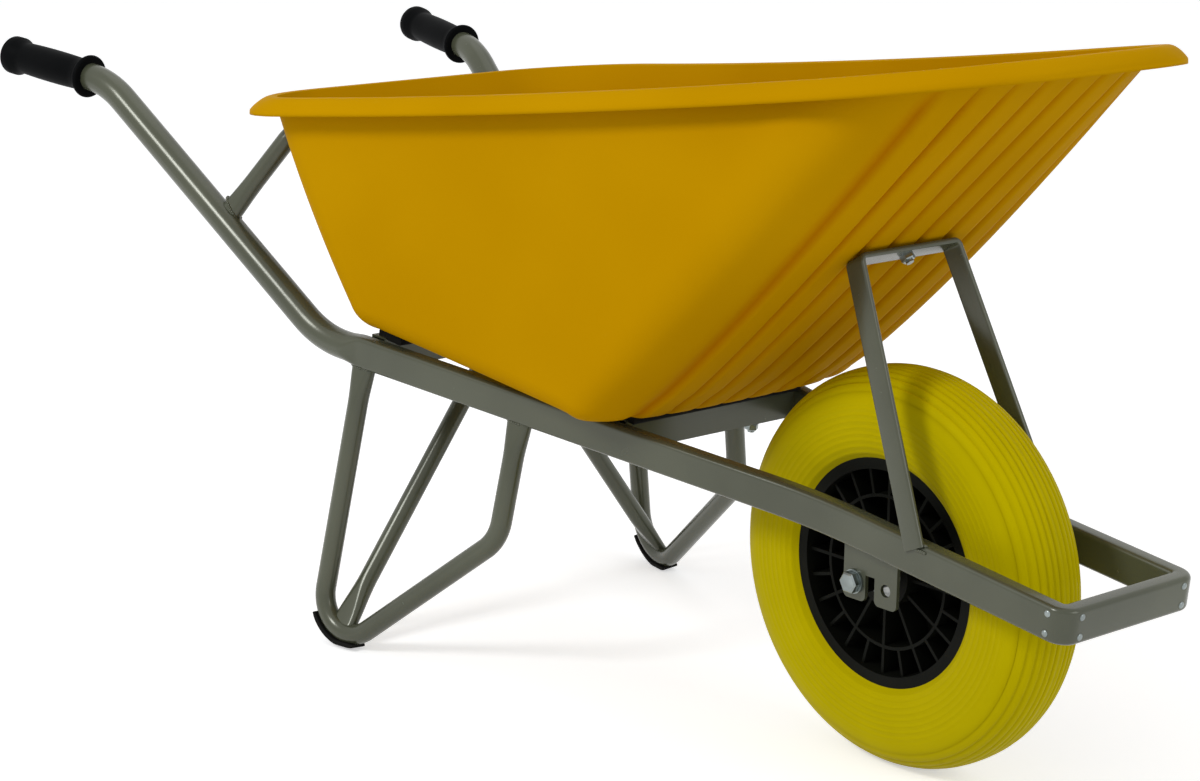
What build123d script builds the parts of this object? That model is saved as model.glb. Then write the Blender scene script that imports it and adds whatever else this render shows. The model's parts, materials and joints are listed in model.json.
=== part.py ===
from build123d import *
import os
from math import asin, atan2, cos, radians, sin, sqrt, tan

os.makedirs("parts", exist_ok=True)

# Wheel: foam tyre on a ribbed plastic rim
wheel_diameter = 400.0
tyre_width = 92.0
tyre_widest_radius = 150.0
tyre_power = 2.45
tread_groove_count = 5
tread_groove_depth = 1.8
tread_groove_width = 3.0
tread_groove_pitch = 11.0
rim_flange_diameter = 241.0
rim_width = 74.0
rim_seat_diameter = 216.0
rim_flange_lip = 5.0
rim_flange_slope = 3.5
rim_wall = 5.0
rim_web = 6.0
rim_ring_radius = 76.0
rim_rib_thickness = 3.2
rim_rib_recess = 6.0
rim_cell_count = 24
rim_spoke_count = 12
hub_radius = 33.0
hub_width = 72.0
hub_bore_radius = 16.0
tyre_bead_half = 38.0

# Axle, bearings and axle plates
axle_diameter = 20.0
bearing_outer_diameter = 47.0
bearing_width = 14.0
bearing_shield_inset = 1.2
bearing_race = 3.5
spacer_wall = 4.0
running_clearance = 0.04
seat_clearance = 0.02
side_clearance = 0.4
axle_bolt_diameter = 12.0
axle_bolt_depth = 30.0
axle_bolt_flats = 19.0
axle_bolt_head = 7.5
axle_washer_diameter = 24.0
axle_washer_thickness = 2.5
bolt_hole_clearance = 0.25
axle_plate_thickness = 4.0
axle_plate_leg_width = 29.0
axle_hole_pitch = 41.0
axle_plate_below_axle = 18.0
axle_plate_notch_rise = 9.0
axle_plate_corner = 6.0
axle_plate_overlap = 22.0

# Rails: one tube a side, pressed flat-sided and left round at the grip
rail_height = 35.0
rail_width = 19.0
rail_corner = 5.0
rail_wall = 2.0
rail_round_diameter = 32.0
rail_pitch = 5.8
rail_over_axle = 61.7
fork_half_spacing = 84.5
fork_rear = 39.0
rail_converge = 10.2
rail_run = 671.0
handle_run = 357.0
handle_rise = 212.5
handle_length = 188.0
fork_bend_radius = 700.0
lower_bend_radius = 200.0
upper_bend_radius = 110.0
press_length = 45.0
press_gap = 80.0

# Front bar and riveted corners
front_bar_reach = 275.0
front_corner_radius = 16.0
corner_spigot = 34.0
spigot_clearance = 0.1
rivet_diameter = 6.0
rivet_head_diameter = 9.0
rivet_head_height = 1.8
rivet_head_taper = 30.0
rivet_spread = 19.0
rivet_setback = 8.0
rivet_length = 4.5
rivet_clearance = 0.05

# Grips
grip_length = 146.0
grip_diameter = 39.0
grip_end_diameter = 45.0
grip_collar_diameter = 53.0
grip_collar_width = 9.0
grip_cap = 5.0
grip_edge = 4.0
grip_end_length = 16.0
grip_taper = 8.0
grip_clearance = 0.05

# Legs, foot shoes and leg braces
leg_diameter = 21.0
leg_wall = 2.0
leg_rear_distance = 614.0
leg_spread = 231.0
leg_front_drop = 131.0
leg_front_bend = 48.0
leg_foot_bend = 41.0
leg_flat_width = 26.0
leg_flat_thickness = 14.0
leg_flat_length = 46.0
leg_trim = 8.0
foot_half_track = 236.0
foot_sole = 4.0
shoe_width = 22.0
shoe_thickness = 6.0
shoe_overlap = 4.0
shoe_front_slope = 0.5
brace_diameter = 18.5
brace_wall = 2.0
brace_half_gap = 12.0
brace_centre_gap = 0.5

# Cross tubes and rubber pads under the tray
cross_width = 20.0
cross_wall = 2.0
cross_front_distance = 262.0
cross_rear_distance = 600.0
rear_pad_forward = 16.0
pad_thickness = 6.0
pad_width = 40.0
pad_overhang = 4.0

# Rear hoop behind the tray
hoop_diameter = 18.0
hoop_wall = 2.0
hoop_foot_distance = 182.0
hoop_up_wall = 198.0
hoop_half_width = 172.0
hoop_bend = 45.0

# Front bracket of flat bar
bracket_bar_width = 28.0
bracket_bar_thickness = 8.0
bracket_half_width = 72.0
bracket_up_wall = 250.0
bracket_foot_ahead = 100.0
bracket_foot_length = 40.0

# Tray: floor outline on the pads and rim outline in plan, both measured from the axle
tray_wall = 4.5
tray_round = 30.0
tray_round_share = 0.1
floor_rear = 645.0
floor_half_width = 190.0
floor_corner = 62.0
floor_nose_start = 332.0
floor_nose_half_width = 166.0
floor_nose_depth = 82.0
floor_nose_power = 3.5
floor_rib_span = 0.72
rim_rear = 826.0
rim_half_width = 286.0
rim_corner = 150.0
rim_nose_start = -20.0
rim_nose_half_width = 200.0
rim_nose_depth = 221.0
rim_nose_power = 2.8
rim_rib_span = 0.8
rim_rear_height = 584.0
rim_middle_height = 659.0
rim_front_height = 731.0
rim_middle_ahead = -188.0
rim_thickness = 4.0
rim_skirt = 20.0
wall_top_inset = 20.0
wall_top_margin = 20.0
tray_rib_count = 7
tray_groove_depth = 5.0
tray_groove_width = 11.0

# Tray bolts
tray_bolt_diameter = 8.0
tray_bolt_head_diameter = 20.0
tray_bolt_head_height = 4.0
tray_bolt_head_taper = 35.0
tray_bolt_head_lift = 0.3
tray_nut_flats = 13.0
tray_nut_height = 6.5
tray_bolt_tip = 8.0
floor_bolt_half_spacing = 70.0
hoop_bolt_half_spacing = 95.0

# Derived places: rails are laid out on a tilted deck plane through both rail centre lines
wheel_radius = wheel_diameter / 2
rail_slope = radians(rail_pitch)
rail_turn = radians(rail_converge)
rail_back = Vector(-cos(rail_turn), sin(rail_turn), 0)
fork_point = Vector(-fork_rear, fork_half_spacing, 0)
lower_point = fork_point + rail_back * rail_run
upper_point = lower_point + rail_back * handle_run + Vector(0, 0, handle_rise)
handle_point = upper_point + rail_back * handle_length
corner_point = Vector(front_bar_reach, fork_half_spacing, 0)
fork_end_point = corner_point - Vector(front_corner_radius, 0, 0)

# The origin is under the middle of the whole length
grip_lean_x = cos(rail_turn) * cos(rail_slope)
grip_flat_radius = grip_end_diameter / 2 - grip_edge
grip_back = grip_cap - grip_edge
rear_reach = (
    -(handle_point.X * cos(rail_slope) + handle_point.Z * sin(rail_slope))
    + grip_back * grip_lean_x
    + grip_flat_radius * sqrt(1 - grip_lean_x**2)
    + grip_edge
)
rivet_top_radius = rivet_head_diameter / 2 - rivet_head_height * tan(radians(rivet_head_taper))
front_reach = (
    (front_bar_reach + rail_width / 2 + rivet_head_height) * cos(rail_slope)
    + (rivet_spread / 2 + rivet_top_radius) * sin(rail_slope)
)
axle_x = (rear_reach - front_reach) / 2
deck = Plane(
    origin=(axle_x, 0, wheel_radius + rail_over_axle),
    x_dir=(cos(rail_slope), 0, -sin(rail_slope)),
    z_dir=(sin(rail_slope), 0, cos(rail_slope)),
)


def beside_axle(y, z_dir):
    return Plane(origin=(axle_x, y, wheel_radius), x_dir=(1, 0, 0), z_dir=z_dir)


outward = (0, 1, 0)
inward = (0, -1, 0)
wheel_plane = beside_axle(0, inward)


def on_deck(point):
    return deck.from_local_coords(point)


def deck_across(point, z_dir):
    return Plane(on_deck(point), x_dir=deck.x_dir, z_dir=z_dir)


def deck_flat(place, lift):
    return Plane(on_deck((place, 0, lift)), x_dir=deck.x_dir, z_dir=deck.z_dir)


def rail_point(distance, lift):
    return on_deck(fork_point + rail_back * distance + Vector(0, 0, lift))


rail_dir = (rail_point(1, 0) - rail_point(0, 0)).normalized()
deck_up = deck.z_dir
steep_dir = (on_deck(upper_point) - on_deck(lower_point)).normalized()
steep_side = deck_up.cross(rail_dir).normalized()
steep_up = steep_dir.cross(steep_side).normalized()

rail_rivet_point = fork_end_point + Vector(-rivet_setback, rail_width / 2, 0)
bar_face = front_bar_reach + rail_width / 2
bar_half_length = fork_half_spacing - front_corner_radius
bar_rivet_y = bar_half_length - rivet_setback
rail_rivet_plane = deck_across(rail_rivet_point, outward)
bar_rivet_plane = Plane(on_deck((bar_face, 0, 0)), x_dir=outward, z_dir=deck.x_dir)
press_head_point = on_deck(upper_point) - steep_dir * press_gap
press_foot_point = press_head_point - steep_dir * press_length

# Rails
with BuildPart() as rail_left:
    with BuildLine() as flat_line:
        FilletPolyline(
            on_deck(fork_end_point),
            on_deck(fork_point),
            on_deck(lower_point),
            press_foot_point,
            radius=[fork_bend_radius, lower_bend_radius],
        )
    with BuildLine() as round_line:
        FilletPolyline(
            press_head_point,
            on_deck(upper_point),
            on_deck(handle_point),
            radius=upper_bend_radius,
        )
    fork_section = Plane(on_deck(fork_end_point), x_dir=(0, 1, 0), z_dir=-deck.x_dir)
    press_foot_section = Plane(press_foot_point, x_dir=steep_side, z_dir=steep_dir)
    press_head_section = Plane(press_head_point, x_dir=steep_side, z_dir=steep_dir)
    for inset, kind in ((0, Mode.ADD), (rail_wall, Mode.SUBTRACT)):
        with BuildSketch(fork_section) as flat_profile:
            RectangleRounded(rail_width - 2 * inset, rail_height - 2 * inset, rail_corner - inset)
        sweep(flat_profile.sketch, path=flat_line.line, mode=kind)
        with BuildSketch(press_foot_section) as press_foot:
            RectangleRounded(rail_width - 2 * inset, rail_height - 2 * inset, rail_corner - inset)
        with BuildSketch(press_head_section) as press_head:
            Circle(rail_round_diameter / 2 - inset)
        loft([press_foot.sketch, press_head.sketch], mode=kind)
        sweep(press_head.sketch, path=round_line.line, mode=kind)

    with BuildSketch(rail_rivet_plane) as rail_holes:
        with Locations((0, rivet_spread / 2), (0, -rivet_spread / 2)):
            Circle(rivet_diameter / 2 + rivet_clearance)
    extrude(rail_holes.sketch, amount=-rail_width / 2, mode=Mode.SUBTRACT)

with BuildPart() as rail_right:
    mirror(rail_left.part, about=Plane.XZ)

# Front bar and its corners
with BuildPart() as front_bar:
    with BuildSketch(deck_across((front_bar_reach, 0, 0), outward)) as bar_section:
        RectangleRounded(rail_width, rail_height, rail_corner)
        RectangleRounded(
            rail_width - 2 * rail_wall,
            rail_height - 2 * rail_wall,
            rail_corner - rail_wall,
            mode=Mode.SUBTRACT,
        )
    extrude(bar_section.sketch, amount=bar_half_length, both=True)
    with BuildSketch(bar_rivet_plane) as bar_holes:
        with GridLocations(2 * bar_rivet_y, rivet_spread, 2, 2):
            Circle(rivet_diameter / 2 + rivet_clearance)
    extrude(bar_holes.sketch, amount=-rail_width / 2, mode=Mode.SUBTRACT)

with BuildPart() as corner_left:
    with BuildLine(deck) as corner_line:
        JernArc((fork_end_point.X, fork_half_spacing), (1, 0), front_corner_radius, -90)
    fork_face = Plane(on_deck(fork_end_point), x_dir=(0, 1, 0), z_dir=deck.x_dir)
    bar_face_plane = deck_across((front_bar_reach, bar_half_length, 0), inward)
    with BuildSketch(fork_face) as corner_section:
        RectangleRounded(rail_width, rail_height, rail_corner)
    sweep(corner_section.sketch, path=corner_line.line)
    spigot_inset = rail_wall + spigot_clearance
    spigot_size = (rail_width - 2 * spigot_inset, rail_height - 2 * spigot_inset, rail_corner - spigot_inset)
    with BuildSketch(fork_face) as fork_spigot:
        RectangleRounded(*spigot_size)
    extrude(fork_spigot.sketch, amount=-corner_spigot)
    with BuildSketch(bar_face_plane) as bar_spigot:
        RectangleRounded(*spigot_size)
    extrude(bar_spigot.sketch, amount=corner_spigot)
    with BuildSketch(rail_rivet_plane) as fork_spigot_holes:
        with Locations((0, rivet_spread / 2), (0, -rivet_spread / 2)):
            Circle(rivet_diameter / 2 + rivet_clearance)
    extrude(fork_spigot_holes.sketch, amount=-rivet_length - rivet_clearance, mode=Mode.SUBTRACT)
    with BuildSketch(bar_rivet_plane) as bar_spigot_holes:
        with Locations((bar_rivet_y, rivet_spread / 2), (bar_rivet_y, -rivet_spread / 2)):
            Circle(rivet_diameter / 2 + rivet_clearance)
    extrude(bar_spigot_holes.sketch, amount=-rivet_length - rivet_clearance, mode=Mode.SUBTRACT)

with BuildPart() as corner_right:
    mirror(corner_left.part, about=Plane.XZ)

with BuildPart() as corner_rivets:
    for rivet_plane, rivet_y in (
        (rail_rivet_plane, 0),
        (bar_rivet_plane, bar_rivet_y),
    ):
        with BuildSketch(rivet_plane) as rivet_shanks:
            with Locations((rivet_y, rivet_spread / 2), (rivet_y, -rivet_spread / 2)):
                Circle(rivet_diameter / 2)
        extrude(rivet_shanks.sketch, amount=-rivet_length)
        with BuildSketch(rivet_plane) as rivet_heads:
            with Locations((rivet_y, rivet_spread / 2), (rivet_y, -rivet_spread / 2)):
                Circle(rivet_head_diameter / 2)
        extrude(rivet_heads.sketch, amount=rivet_head_height, taper=rivet_head_taper)
    mirror(about=Plane.XZ)

# Wheel
axle_line = Axis((axle_x, 0, wheel_radius), (0, 1, 0))
axle_section = Plane(origin=(axle_x, 0, wheel_radius), x_dir=(0, 1, 0), z_dir=(1, 0, 0))
seat_radius = rim_seat_diameter / 2
flange_radius = rim_flange_diameter / 2
lip_inner = rim_width / 2 - rim_flange_lip
seat_half = lip_inner - rim_flange_slope
bearing_radius = bearing_outer_diameter / 2
bearing_inner = hub_width / 2 - bearing_width

with BuildPart() as rim:
    with BuildSketch(axle_section) as rim_profile:
        with BuildLine():
            Polyline(
                (-rim_width / 2, seat_radius - rim_wall),
                (-rim_width / 2, flange_radius),
                (-lip_inner, flange_radius),
                (-seat_half, seat_radius),
                (seat_half, seat_radius),
                (lip_inner, flange_radius),
                (rim_width / 2, flange_radius),
                (rim_width / 2, seat_radius - rim_wall),
                close=True,
            )
        make_face()
    revolve(rim_profile.sketch, axis=axle_line)
    with BuildSketch(wheel_plane) as web_disc:
        Circle(seat_radius - rim_wall / 2)
    extrude(web_disc.sketch, amount=rim_web / 2, both=True)
    with BuildSketch(wheel_plane) as hub_disc:
        Circle(hub_radius)
    extrude(hub_disc.sketch, amount=hub_width / 2, both=True)
    with BuildSketch(wheel_plane) as rib_ring:
        Circle(rim_ring_radius + rim_rib_thickness / 2)
        Circle(rim_ring_radius - rim_rib_thickness / 2, mode=Mode.SUBTRACT)
    extrude(rib_ring.sketch, amount=rim_width / 2 - rim_rib_recess, both=True)
    rib_outer = seat_radius - rim_wall / 2
    with BuildSketch(wheel_plane) as cell_ribs:
        with PolarLocations((rib_outer + rim_ring_radius) / 2, rim_cell_count):
            Rectangle(rib_outer - rim_ring_radius, rim_rib_thickness)
    extrude(cell_ribs.sketch, amount=rim_width / 2 - rim_rib_recess, both=True)
    spoke_inner = hub_radius - rim_rib_thickness
    with BuildSketch(wheel_plane) as spoke_ribs:
        with PolarLocations((rim_ring_radius + spoke_inner) / 2, rim_spoke_count):
            Rectangle(rim_ring_radius - spoke_inner, rim_rib_thickness)
    extrude(spoke_ribs.sketch, amount=rim_width / 2 - rim_rib_recess, both=True)
    with BuildSketch(axle_section) as hub_bore:
        with BuildLine():
            Polyline(
                (-hub_width / 2, 0),
                (-hub_width / 2, bearing_radius),
                (-bearing_inner, bearing_radius),
                (-bearing_inner, hub_bore_radius),
                (bearing_inner, hub_bore_radius),
                (bearing_inner, bearing_radius),
                (hub_width / 2, bearing_radius),
                (hub_width / 2, 0),
                close=True,
            )
        make_face()
    revolve(hub_bore.sketch, axis=axle_line, mode=Mode.SUBTRACT)


def tread_radius(y):
    share = abs(y) / (tyre_width / 2)
    crown = wheel_radius - tyre_widest_radius
    return tyre_widest_radius + crown * (1 - share**tyre_power) ** (1 / tyre_power)


tread_points = []
for groove in range(tread_groove_count):
    groove_y = (groove - (tread_groove_count - 1) / 2) * tread_groove_pitch
    groove_edge = tread_groove_width / 2
    tread_points.append((groove_y - groove_edge, tread_radius(groove_y - groove_edge)))
    tread_points.append((groove_y - groove_edge / 2, tread_radius(groove_y) - tread_groove_depth))
    tread_points.append((groove_y + groove_edge / 2, tread_radius(groove_y) - tread_groove_depth))
    tread_points.append((groove_y + groove_edge, tread_radius(groove_y + groove_edge)))
shoulder_start = tread_points[-1][0]
shoulder_points = [tread_points[-1]]
for step in (0.35, 0.62, 0.82, 0.95):
    shoulder_y = shoulder_start + (tyre_width / 2 - shoulder_start) * step
    shoulder_points.append((shoulder_y, tread_radius(shoulder_y)))
shoulder_points.append((tyre_width / 2, tyre_widest_radius))
shoulder_points.append((tyre_bead_half, flange_radius))

with BuildPart() as tyre:
    with BuildSketch(axle_section) as tyre_profile:
        with BuildLine():
            Polyline(*tread_points)
            Spline(*shoulder_points)
            Spline(*[(-y, r) for y, r in shoulder_points])
            Polyline(
                (tyre_bead_half, flange_radius),
                (lip_inner, flange_radius),
                (seat_half, seat_radius),
                (-seat_half, seat_radius),
                (-lip_inner, flange_radius),
                (-tyre_bead_half, flange_radius),
            )
        make_face()
    revolve(tyre_profile.sketch, axis=axle_line)

# Bearings, axle and plates
bearing_bore = axle_diameter / 2 + running_clearance
shield_low = bearing_bore + bearing_race
shield_high = bearing_radius - seat_clearance - bearing_race
with BuildPart() as bearing_left:
    with BuildSketch(axle_section) as bearing_profile:
        with BuildLine():
            Polyline(
                (bearing_inner, bearing_bore),
                (hub_width / 2, bearing_bore),
                (hub_width / 2, shield_low),
                (hub_width / 2 - bearing_shield_inset, shield_low),
                (hub_width / 2 - bearing_shield_inset, shield_high),
                (hub_width / 2, shield_high),
                (hub_width / 2, bearing_radius - seat_clearance),
                (bearing_inner, bearing_radius - seat_clearance),
                close=True,
            )
        make_face()
    revolve(bearing_profile.sketch, axis=axle_line)

with BuildPart() as bearing_right:
    mirror(bearing_left.part, about=Plane.XZ)

plate_outer = fork_half_spacing - rail_width / 2
plate_inner = plate_outer - axle_plate_thickness
with BuildPart() as axle:
    with BuildSketch(wheel_plane) as axle_round:
        Circle(axle_diameter / 2)
    extrude(axle_round.sketch, amount=plate_inner, both=True)
    for end_plane in (beside_axle(plate_inner, inward), beside_axle(-plate_inner, outward)):
        with BuildSketch(end_plane) as axle_thread:
            Circle(axle_bolt_diameter / 2 + seat_clearance)
        extrude(axle_thread.sketch, amount=axle_bolt_depth + bolt_hole_clearance, mode=Mode.SUBTRACT)

with BuildPart() as spacer_left:
    with BuildSketch(beside_axle(plate_inner, inward)) as spacer_round:
        Circle(axle_diameter / 2 + spacer_wall)
        Circle(axle_diameter / 2 + seat_clearance, mode=Mode.SUBTRACT)
    extrude(spacer_round.sketch, amount=plate_inner - hub_width / 2 - side_clearance)

with BuildPart() as spacer_right:
    mirror(spacer_left.part, about=Plane.XZ)


def plate_top(x):
    return rail_over_axle - x * sin(rail_slope) - rail_height / 2 + axle_plate_overlap


leg_half = axle_plate_leg_width / 2
with BuildPart() as axle_plate_left:
    with BuildSketch(beside_axle(plate_outer, inward)) as plate_face:
        with BuildLine():
            Polyline(
                (-leg_half, plate_top(-leg_half)),
                (-leg_half, -axle_plate_below_axle),
                (leg_half, -axle_plate_below_axle),
                (leg_half, axle_plate_notch_rise),
                (axle_hole_pitch - leg_half, axle_plate_notch_rise),
                (axle_hole_pitch - leg_half, -axle_plate_below_axle),
                (axle_hole_pitch + leg_half, -axle_plate_below_axle),
                (axle_hole_pitch + leg_half, plate_top(axle_hole_pitch + leg_half)),
                close=True,
            )
        make_face()
        fillet(plate_face.vertices().group_by(Axis.Y)[0], axle_plate_corner)
        with Locations((0, 0), (axle_hole_pitch, 0)):
            Circle(axle_bolt_diameter / 2 + bolt_hole_clearance, mode=Mode.SUBTRACT)
    extrude(plate_face.sketch, amount=axle_plate_thickness)

with BuildPart() as axle_plate_right:
    mirror(axle_plate_left.part, about=Plane.XZ)

with BuildPart() as axle_washers:
    with BuildSketch(beside_axle(plate_outer, outward)) as washer_round:
        Circle(axle_washer_diameter / 2)
        Circle(axle_bolt_diameter / 2 + bolt_hole_clearance, mode=Mode.SUBTRACT)
    extrude(washer_round.sketch, amount=axle_washer_thickness)
    mirror(about=Plane.XZ)

head_seat = plate_outer + axle_washer_thickness
with BuildPart() as axle_bolts:
    head_plane = beside_axle(head_seat, outward)
    with BuildSketch(head_plane) as bolt_head:
        RegularPolygon(axle_bolt_flats / 2, 6, major_radius=False)
    extrude(bolt_head.sketch, amount=axle_bolt_head)
    with BuildSketch(head_plane) as bolt_shank:
        Circle(axle_bolt_diameter / 2)
    extrude(bolt_shank.sketch, amount=-(head_seat - plate_inner + axle_bolt_depth))
    mirror(about=Plane.XZ)

# Legs: both tubes of a leg lie in one plane through the rail and the foot
leg_rear_top = rail_point(leg_rear_distance, -rail_height / 2)
leg_forward = -rail_dir
foot_guess = Vector(leg_rear_top.X, foot_half_track, 0)
foot_offset = foot_guess - leg_rear_top
leg_down = (foot_offset - leg_forward * foot_offset.dot(leg_forward)).normalized()
leg_plane = Plane(origin=leg_rear_top, x_dir=leg_forward, z_dir=leg_forward.cross(leg_down))
fall = sqrt(leg_forward.Z**2 + leg_down.Z**2)
foot_centre_z = leg_foot_bend * fall + leg_diameter / 2 + foot_sole
foot_centre_drop = (leg_rear_top.Z + leg_foot_bend * leg_forward.Z - foot_centre_z) / -leg_down.Z
to_centre = (leg_foot_bend - leg_spread, foot_centre_drop - leg_front_drop)
centre_distance = sqrt(to_centre[0] ** 2 + to_centre[1] ** 2)
run_angle = atan2(to_centre[1], to_centre[0]) - asin(leg_foot_bend / centre_distance)
foot_vertex_drop = leg_front_drop - leg_spread * sin(run_angle) / cos(run_angle)


def on_leg(forward, down):
    return leg_plane.from_local_coords((forward, down, 0))


def leg_section(forward, down):
    return Plane(on_leg(forward, down), x_dir=leg_forward, z_dir=-leg_down)


def leg_tube(inset, kind):
    radius = leg_diameter / 2 - inset
    with BuildLine() as leg_line:
        FilletPolyline(
            on_leg(leg_spread, leg_flat_length),
            on_leg(leg_spread, leg_front_drop),
            on_leg(0, foot_vertex_drop),
            on_leg(0, leg_flat_length),
            radius=[leg_front_bend, leg_foot_bend],
        )
    with BuildSketch(Plane(leg_line.line @ 0, x_dir=leg_forward, z_dir=leg_down)) as leg_round:
        Circle(radius)
    sweep(leg_round.sketch, path=leg_line.line, mode=kind)
    for place in (0, leg_spread):
        with BuildSketch(leg_section(place, leg_flat_length)) as flat_low:
            Circle(radius)
        with BuildSketch(leg_section(place, -leg_trim)) as flat_top:
            Ellipse(leg_flat_width / 2 - inset, leg_flat_thickness / 2 - inset)
        loft([flat_low.sketch, flat_top.sketch], mode=kind)


rail_underside = Plane(leg_rear_top, z_dir=deck_up)
with BuildPart() as leg_blank:
    leg_tube(0, Mode.ADD)
    split(bisect_by=rail_underside, keep=Keep.BOTTOM)

with BuildPart() as leg_left:
    add(leg_blank.part)
    leg_tube(leg_wall, Mode.SUBTRACT)

with BuildPart() as leg_right:
    mirror(leg_left.part, about=Plane.XZ)

shoe_inner = leg_foot_bend + leg_diameter / 2 - shoe_overlap
shoe_outer = leg_foot_bend + leg_diameter / 2 + shoe_thickness
with BuildPart() as shoe_left:
    with BuildSketch(leg_plane) as shoe_strip:
        with Locations((leg_foot_bend, foot_centre_drop)):
            Circle(shoe_outer)
            Circle(shoe_inner, mode=Mode.SUBTRACT)
        with BuildLine():
            Polyline(
                (leg_foot_bend, foot_centre_drop),
                (leg_foot_bend - 2 * shoe_outer, foot_centre_drop),
                (leg_foot_bend - 2 * shoe_outer, foot_centre_drop + 2 * shoe_outer),
                (leg_foot_bend + 2 * shoe_outer * shoe_front_slope, foot_centre_drop + 2 * shoe_outer),
                close=True,
            )
        make_face(mode=Mode.INTERSECT)
    extrude(shoe_strip.sketch, amount=shoe_width / 2, both=True)
    split(bisect_by=Plane.XY, keep=Keep.TOP)
    add(leg_blank.part, mode=Mode.SUBTRACT)

with BuildPart() as shoe_right:
    mirror(shoe_left.part, about=Plane.XZ)

# Cross tubes, pads and braces
rail_outward = steep_side if steep_side.Y > 0 else -steep_side


def cross_place(distance):
    return (fork_point + rail_back * distance).X


def cross_tube(place, distance):
    with BuildSketch(deck_across((place, 0, 0), outward)) as cross_section:
        Rectangle(cross_width, rail_height)
        Rectangle(cross_width - 2 * cross_wall, rail_height - 2 * cross_wall, mode=Mode.SUBTRACT)
    extrude(cross_section.sketch, amount=foot_half_track, both=True)
    inner_point = rail_point(distance, 0) - rail_outward * (rail_width / 2)
    inner_face = Plane(inner_point, z_dir=rail_outward)
    split(bisect_by=inner_face, keep=Keep.BOTTOM)
    right_point = Vector(inner_point.X, -inner_point.Y, inner_point.Z)
    right_face = Plane(right_point, z_dir=(rail_outward.X, -rail_outward.Y, rail_outward.Z))
    split(bisect_by=right_face, keep=Keep.BOTTOM)


front_place = cross_place(cross_front_distance)
rear_place = cross_place(cross_rear_distance)
deck_top = rail_height / 2
floor_bolt_plane = deck_flat(front_place, 0)
with BuildPart() as front_cross_tube:
    cross_tube(front_place, cross_front_distance)
    with BuildSketch(floor_bolt_plane) as cross_holes:
        with Locations((0, floor_bolt_half_spacing), (0, -floor_bolt_half_spacing)):
            Circle(tray_bolt_diameter / 2 + bolt_hole_clearance)
    extrude(cross_holes.sketch, amount=rail_height, both=True, mode=Mode.SUBTRACT)

with BuildPart() as rear_cross_tube:
    cross_tube(rear_place, cross_rear_distance)

with BuildPart() as front_pad:
    with BuildSketch(deck_flat(front_place, deck_top)) as front_strip:
        Rectangle(pad_width, 2 * (rail_point(cross_front_distance, 0).Y + rail_width / 2 + pad_overhang))
        with Locations((0, floor_bolt_half_spacing), (0, -floor_bolt_half_spacing)):
            Circle(tray_bolt_diameter / 2 + bolt_hole_clearance, mode=Mode.SUBTRACT)
    extrude(front_strip.sketch, amount=pad_thickness)

with BuildPart() as rear_pad:
    rear_pad_place = rear_place + rear_pad_forward
    with BuildSketch(deck_flat(rear_pad_place, deck_top)) as rear_strip:
        Rectangle(pad_width, 2 * (rail_point(cross_rear_distance, 0).Y + rail_width / 2 + pad_overhang))
    extrude(rear_strip.sketch, amount=pad_thickness)

brace_top = on_deck((rear_place, brace_half_gap, -rail_height / 2))
brace_foot = on_leg(leg_foot_bend, foot_centre_drop + leg_foot_bend)
brace_dir = (brace_top - brace_foot).normalized()
with BuildPart() as brace_left:
    with BuildSketch(Plane(brace_foot, z_dir=brace_dir)) as brace_round:
        Circle(brace_diameter / 2)
        Circle(brace_diameter / 2 - brace_wall, mode=Mode.SUBTRACT)
    extrude(brace_round.sketch, amount=(brace_top - brace_foot).length + rail_height / 2)
    split(bisect_by=Plane(brace_top, z_dir=deck_up), keep=Keep.BOTTOM)
    split(bisect_by=Plane.XZ.offset(-brace_centre_gap), keep=Keep.BOTTOM)
    add(leg_blank.part, mode=Mode.SUBTRACT)

with BuildPart() as brace_right:
    mirror(brace_left.part, about=Plane.XZ)

# Tray: outlines are drawn in plan with a ribbed nose
floor_shape = (
    floor_rear,
    floor_half_width,
    floor_corner,
    floor_nose_start,
    floor_nose_half_width,
    floor_nose_depth,
    floor_nose_power,
    floor_rib_span,
)
rim_shape = (
    rim_rear,
    rim_half_width,
    rim_corner,
    rim_nose_start,
    rim_nose_half_width,
    rim_nose_depth,
    rim_nose_power,
    rim_rib_span,
)


def inset_shape(shape, inset):
    rear, half_width, corner, start, nose_half, depth, power, span = shape
    outer = (rear - inset, half_width - inset, corner - inset / 2)
    return outer + (start, nose_half - inset, depth - inset, power, span)


def blend_shape(low, high, share):
    return tuple(a + (b - a) * share for a, b in zip(low, high))


def nose_x(shape, y):
    rear, half_width, corner, start, nose_half, depth, power, span = shape
    return -start + depth * max(0, 1 - abs(y / nose_half) ** power) ** (1 / power)


def nose_points(shape):
    nose_half = shape[4]
    rib_end = nose_half * shape[7]
    points = []
    for share in (1, 0.992, 0.96, 0.9):
        y = rib_end + (nose_half - rib_end) * (share - shape[7]) / (1 - shape[7])
        if share > shape[7]:
            points.append((nose_x(shape, y), y))
    for rib in range(tray_rib_count // 2 + 1):
        y = rib_end * (1 - 2 * rib / tray_rib_count)
        points.append((nose_x(shape, y + tray_groove_width / 2), y + tray_groove_width / 2))
        points.append((nose_x(shape, y) - tray_groove_depth, y))
        points.append((nose_x(shape, y - tray_groove_width / 2), y - tray_groove_width / 2))
    return points + [(x, -y) for x, y in reversed(points)]


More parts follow.
